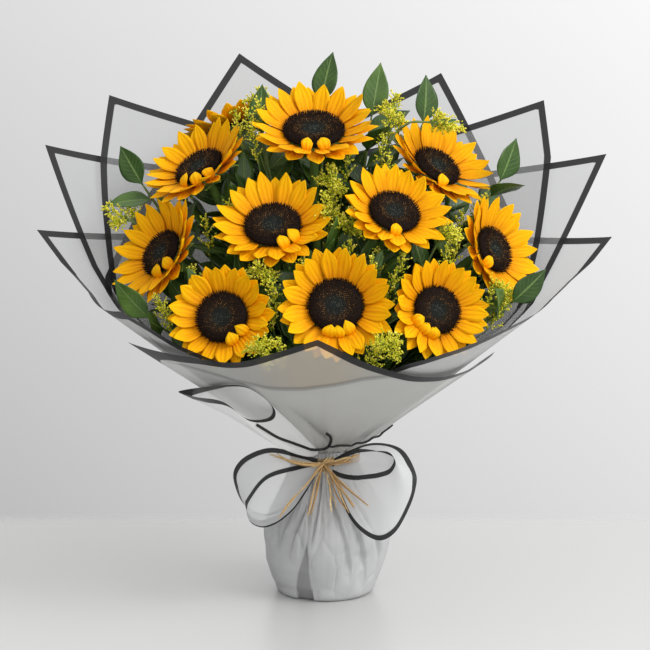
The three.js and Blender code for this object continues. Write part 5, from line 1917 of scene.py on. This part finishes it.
def band_strand(k, draw):
    """One turn round the neck."""
    lean = draw.uniform(-BAND_LEAN, BAND_LEAN)
    phase = draw.uniform(0, 6)
    turn = np.linspace(0, 2 * math.pi, BAND_STEPS)
    wobble = BAND_WOBBLE * np.sin(turn * BAND_WAVES + phase)
    radius = RAFFIA_BAND - BAND_SINK + draw.uniform(*BAND_STRAY) + wobble
    height = RAFFIA_LOWEST + k + lean * radius * np.sin(turn + phase)
    path = np.stack([radius * np.sin(turn), -radius * np.cos(turn), height], -1)
    return strand(path, draw.uniform(*BAND_WIDTHS), BAND_THICKNESS, draw, taper=False)


def knot_strand(k, draw):
    """One loop of the knot."""
    turn = np.linspace(0, 2 * math.pi, KNOT_STEPS)
    tilt = draw.uniform(-KNOT_TILT, KNOT_TILT)
    wide = draw.uniform(*KNOT_SIZES)
    middle = KNOT_LOOPS // 2
    loop = np.stack([
        wide * LOOP_WIDTH * np.cos(turn) * math.cos(tilt) + KNOT_REACH * (k - middle) / middle,
        wide * LOOP_DEPTH * np.sin(turn),
        wide * np.cos(turn + tilt),
    ], -1)
    return strand(RAFFIA_KNOT + loop, draw.uniform(*KNOT_WIDTHS), KNOT_THICKNESS, draw, taper=False)


def tail_strand(place, draw):
    """A tail from the knot to a place in front of it."""
    end = np.array(place, float) + jog(draw, TAIL_STRAY)
    start = RAFFIA_KNOT + np.array([draw.uniform(*span) for span in TAIL_ROOTS])
    arch = (start + end) / 2 + TAIL_ARCH
    if place[2] < HANGING_BELOW:
        aside, front, level = HANGING_ARCH
        arch = np.array([end[0] * aside, front, level])
    arch = arch + jog(draw, TAIL_ARCH_STRAY)
    t = np.linspace(0, 1, TAIL_STEPS)[:, None]
    path = start * (1 - t) ** 2 + 2 * arch * t * (1 - t) + end * t * t
    wobble = jog(draw, 1)
    path = path + TAIL_WOBBLE * np.sin(t * draw.uniform(*TAIL_WAVES)) * wobble * t ** 0.5
    return strand(path, draw.uniform(*TAIL_WIDTHS), TAIL_THICKNESS, draw)


def raffia_tie():
    draw = random.Random("raffia")
    strands = [band_strand(k, draw) for k in range(RAFFIA_TURNS)]
    strands += [knot_strand(k, draw) for k in range(KNOT_LOOPS)]
    strands += [tail_strand(place, draw) for place in RAFFIA_TAILS for _ in range(TAILS_A_PLACE)]
    piece = joined(*strands)
    piece.name = "raffia_tie_fibres"
    piece.data.name = "raffia_tie_fibres"
    painted(piece, raffia_finish)
    stands_for(piece, "raffia_tie")


raffia_tie()
bow_loop("bow_left", BOW_LEFT)
bow_loop("bow_right", BOW_RIGHT)

# Gathered foot
# A square of whitish film is gathered up round the water and tied at the neck. It is finely pleated at the
# tie, and the pleats open into broad soft folds over a flat bottom.
FOOT_PROFILE = (
    [0, 3, 12, 26, 40, 54, 62, 70, 84, 100, 112, 122, 131, 141, 146],
    [46.5, 49.5, 52.5, 57, 61, 64, 64.4, 63, 56.5, 48, 41.5, 36, 33, 32.8, 33.5],
)
FOOT_COLUMNS = 480
FOOT_ROWS = 64
FOOT_CREASES = 34
CREASES_START = 128
CREASE_ENDS = (4, 96)
CREASE_WIDTHS = (0.1, 0.24)
CREASE_DEPTHS = (1.2, 3.4)
CREASE_SLANT = 0.3
CREASE_STRAY = 0.4
CREASE_TOP_WIDTH = 0.35
CREASE_EASING = 1.4
CREASE_STEEP = 0.3
CREASE_FADES = (22, 12)
CREASE_END = 0.15
CREASE_PAST = 4
CALM_FRONT = 0.7
FRONT_CREASES = [
    (-4, -15.5, 128, 58, 0.12, 4.0), (3, 24, 126, 22, 0.17, 4.6), (14, 44, 126, 10, 0.2, 4.6),
    (-16, -40, 126, 40, 0.2, 3.4), (28, 58, 124, 40, 0.17, 4.2), (-28, -60, 126, 26, 0.22, 3.2),
    (8, 10, 126, 66, 0.09, 2.6), (-9, -28, 126, 80, 0.1, 2.4), (24, 40, 110, 66, 0.08, 2.6),
]
FINE_PLEATS = ([0, 60, 100, 118, 131, 141, 146], [0, 0.2, 1.0, 1.5, 1.2, 1.4, 2.6])
OVALNESS = ([0, 20, 90, 130], [0.2, 1, 1, 0])
POUCH_PROFILE = ([0, 2, 14, 32, 50, 62, 80, 100, 104], [42, 43, 52.6, 58.4, 59.2, 57.6, 49, 39.4, 0])
POUCH_CLEARANCE = 0.6
FOOT_SWAY = ([0, 20, 60, 90, 125], [0, 0.6, 2.6, 2, 0])
CRUMPLE = Vector((0.045, 0.045, 0.021))
CRUMPLE_DEPTH = 1.5
CRUMPLED = ([0, 4, 30, 96, 120], [0, 0.7, 1, 0.8, 0])
TUCK_TOP = 64
TUCK_TOP_ANGLE = -18.5
TUCK_SIDES = (-37, -13)
TUCK_DEPTH = 6
TUCK_SHADE = 0.75
BOTTOM_RINGS = (0.02, 0.35, 0.7, 0.9)

foot_film = Finish("foot_film", roughness=0.48, specular_ior_level=0.25)
foot_place = foot_film.object_place()
foot_body = foot_film.clouded(foot_film.noise(foot_place, 16, 3), (0.41, 0.413, 0.416), (0.55, 0.553, 0.556))
# Painted shade darkens the film where it is tucked in.
foot_film.drive("Base Color", foot_film.blend(foot_film.attribute("hidden"), foot_body, (0.2, 0.2, 0.2)))
foot_crumple = foot_film.noise(foot_film.stretched(foot_place, (1, 1, 0.5)), 42, 4)
foot_film.drive("Normal", foot_film.bump(foot_crumple, 0.25, 0.004))


def apart(turn, angle):
    return (turn - angle + math.pi) % (2 * math.pi) - math.pi


def crease(turn, height, top, bottom, start, end, width, depth):
    """A fold that falls from the neck, steep on its right, or on its left where the width is below zero."""
    if width < 0:
        turn, top, bottom, width = -turn, -top, -bottom, -width
    share = np.clip((start - height) / (start - end), 0, 1)
    wide = width * (CREASE_TOP_WIDTH + (1 - CREASE_TOP_WIDTH) * share)
    across = apart(turn, top + (bottom - top) * share) / wide
    gentle = np.clip(1 + across, 0, 1) ** CREASE_EASING
    slope = np.where(across < 0, gentle, np.clip(1 - across / CREASE_STEEP, 0, 1))
    below, above = CREASE_FADES
    fade = np.clip((height - end) / below + CREASE_END, 0, 1) * np.clip((start - height) / above, 0, 1)
    return depth * slope * fade * (height < start) * (height > end - CREASE_PAST)


def creased(radius, turn, height):
    """The foot's radius with the folds that show in front and drawn ones all round."""
    draw = random.Random("foot folds")
    for top, bottom, start, end, width, depth in FRONT_CREASES:
        angles = (math.radians(top), math.radians(bottom))
        radius = radius - crease(turn, height, *angles, start, end, width, depth)
    for k in range(FOOT_CREASES):
        top = 2 * math.pi * (k + draw.uniform(-CREASE_STRAY, CREASE_STRAY)) / FOOT_CREASES
        bottom = top + draw.uniform(-CREASE_SLANT, CREASE_SLANT)
        end = draw.uniform(*CREASE_ENDS)
        width = draw.uniform(*CREASE_WIDTHS) * draw.choice((-1, 1))
        depth = draw.uniform(*CREASE_DEPTHS)
        if abs(apart(top, 0)) < CALM_FRONT:
            depth *= 0.5
        radius = radius - crease(turn, height, top, bottom, CREASES_START, end, width, depth)
    return radius


def tucked(turn, height):
    """Where the film is tucked in, low on the left of the front, and how far down that is."""
    front = np.degrees(apart(turn, 0))
    down = np.clip((TUCK_TOP - height) / TUCK_TOP, 0, 1)
    low, high = [TUCK_TOP_ANGLE + (side - TUCK_TOP_ANGLE) * down for side in TUCK_SIDES]
    return np.clip(np.minimum(front - low, high - front) / 1.4, 0, 1), down


def foot():
    turn = all_round(FOOT_COLUMNS)[None]
    height = np.linspace(0, 1, FOOT_ROWS)[:, None] * TIE_HIGH
    radius = creased(np.interp(height, *FOOT_PROFILE) + 0 * turn, turn, height)
    pleats = np.abs(np.sin(turn * 23 + 2 * np.sin(turn * 3))) - 0.5
    radius = radius + np.interp(height, *FINE_PLEATS) * pleats
    radius = radius + np.sin(turn * 2 + 0.6) * np.interp(height, *OVALNESS)
    tuck, down = tucked(turn, height)
    radius = radius - TUCK_DEPTH * tuck * np.clip(down * 3, 0, 1) ** 0.7
    grid = np.stack([radius * np.sin(turn), -radius * np.cos(turn), height + 0 * turn], -1)
    cells = np.array([
        [noise.voronoi(Vector(point) * CRUMPLE, exponent=2.5)[0][:2] for point in row] for row in grid
    ])
    sharp = np.exp(-(cells[..., 1] - cells[..., 0]) / 0.1) - 0.6 * cells[..., 0]
    radius = radius - CRUMPLE_DEPTH * sharp * np.interp(height, *CRUMPLED)
    sway = np.interp(height, *FOOT_SWAY)
    radius = np.maximum(radius, np.interp(height, *POUCH_PROFILE) + POUCH_CLEARANCE - sway * np.sin(turn))
    grid = np.stack([radius * np.sin(turn) + sway, -radius * np.cos(turn), height + 0 * turn], -1)
    bottom = np.array([grid[0] * share for share in BOTTOM_RINGS])
    bottom[..., 2] = 0.0
    # The tuck's painted shade; none on the bottom.
    hidden = np.concatenate([np.zeros(bottom.shape[:2]), TUCK_SHADE * tuck])
    piece = woven("foot_wrap_film", np.concatenate([bottom, grid]), {"hidden": hidden}, closed=True)
    painted(piece, foot_film)
    stands_for(piece, "foot_wrap")


foot()

# Water
# The stems stand in clear water, in a thin pouch that the foot is gathered round. Only its finish is given
# here, as the foot covers its shape.
water_finish = Finish("water", roughness=0.08, specular_ior_level=0.5, alpha=0.4)
water_cloud = water_finish.noise(water_finish.object_place(), 30, 2)
water_finish.drive("Base Color", water_finish.clouded(water_cloud, (0.6, 0.68, 0.7), (0.7, 0.77, 0.78)))
painted(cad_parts["water_pouch"], water_finish)
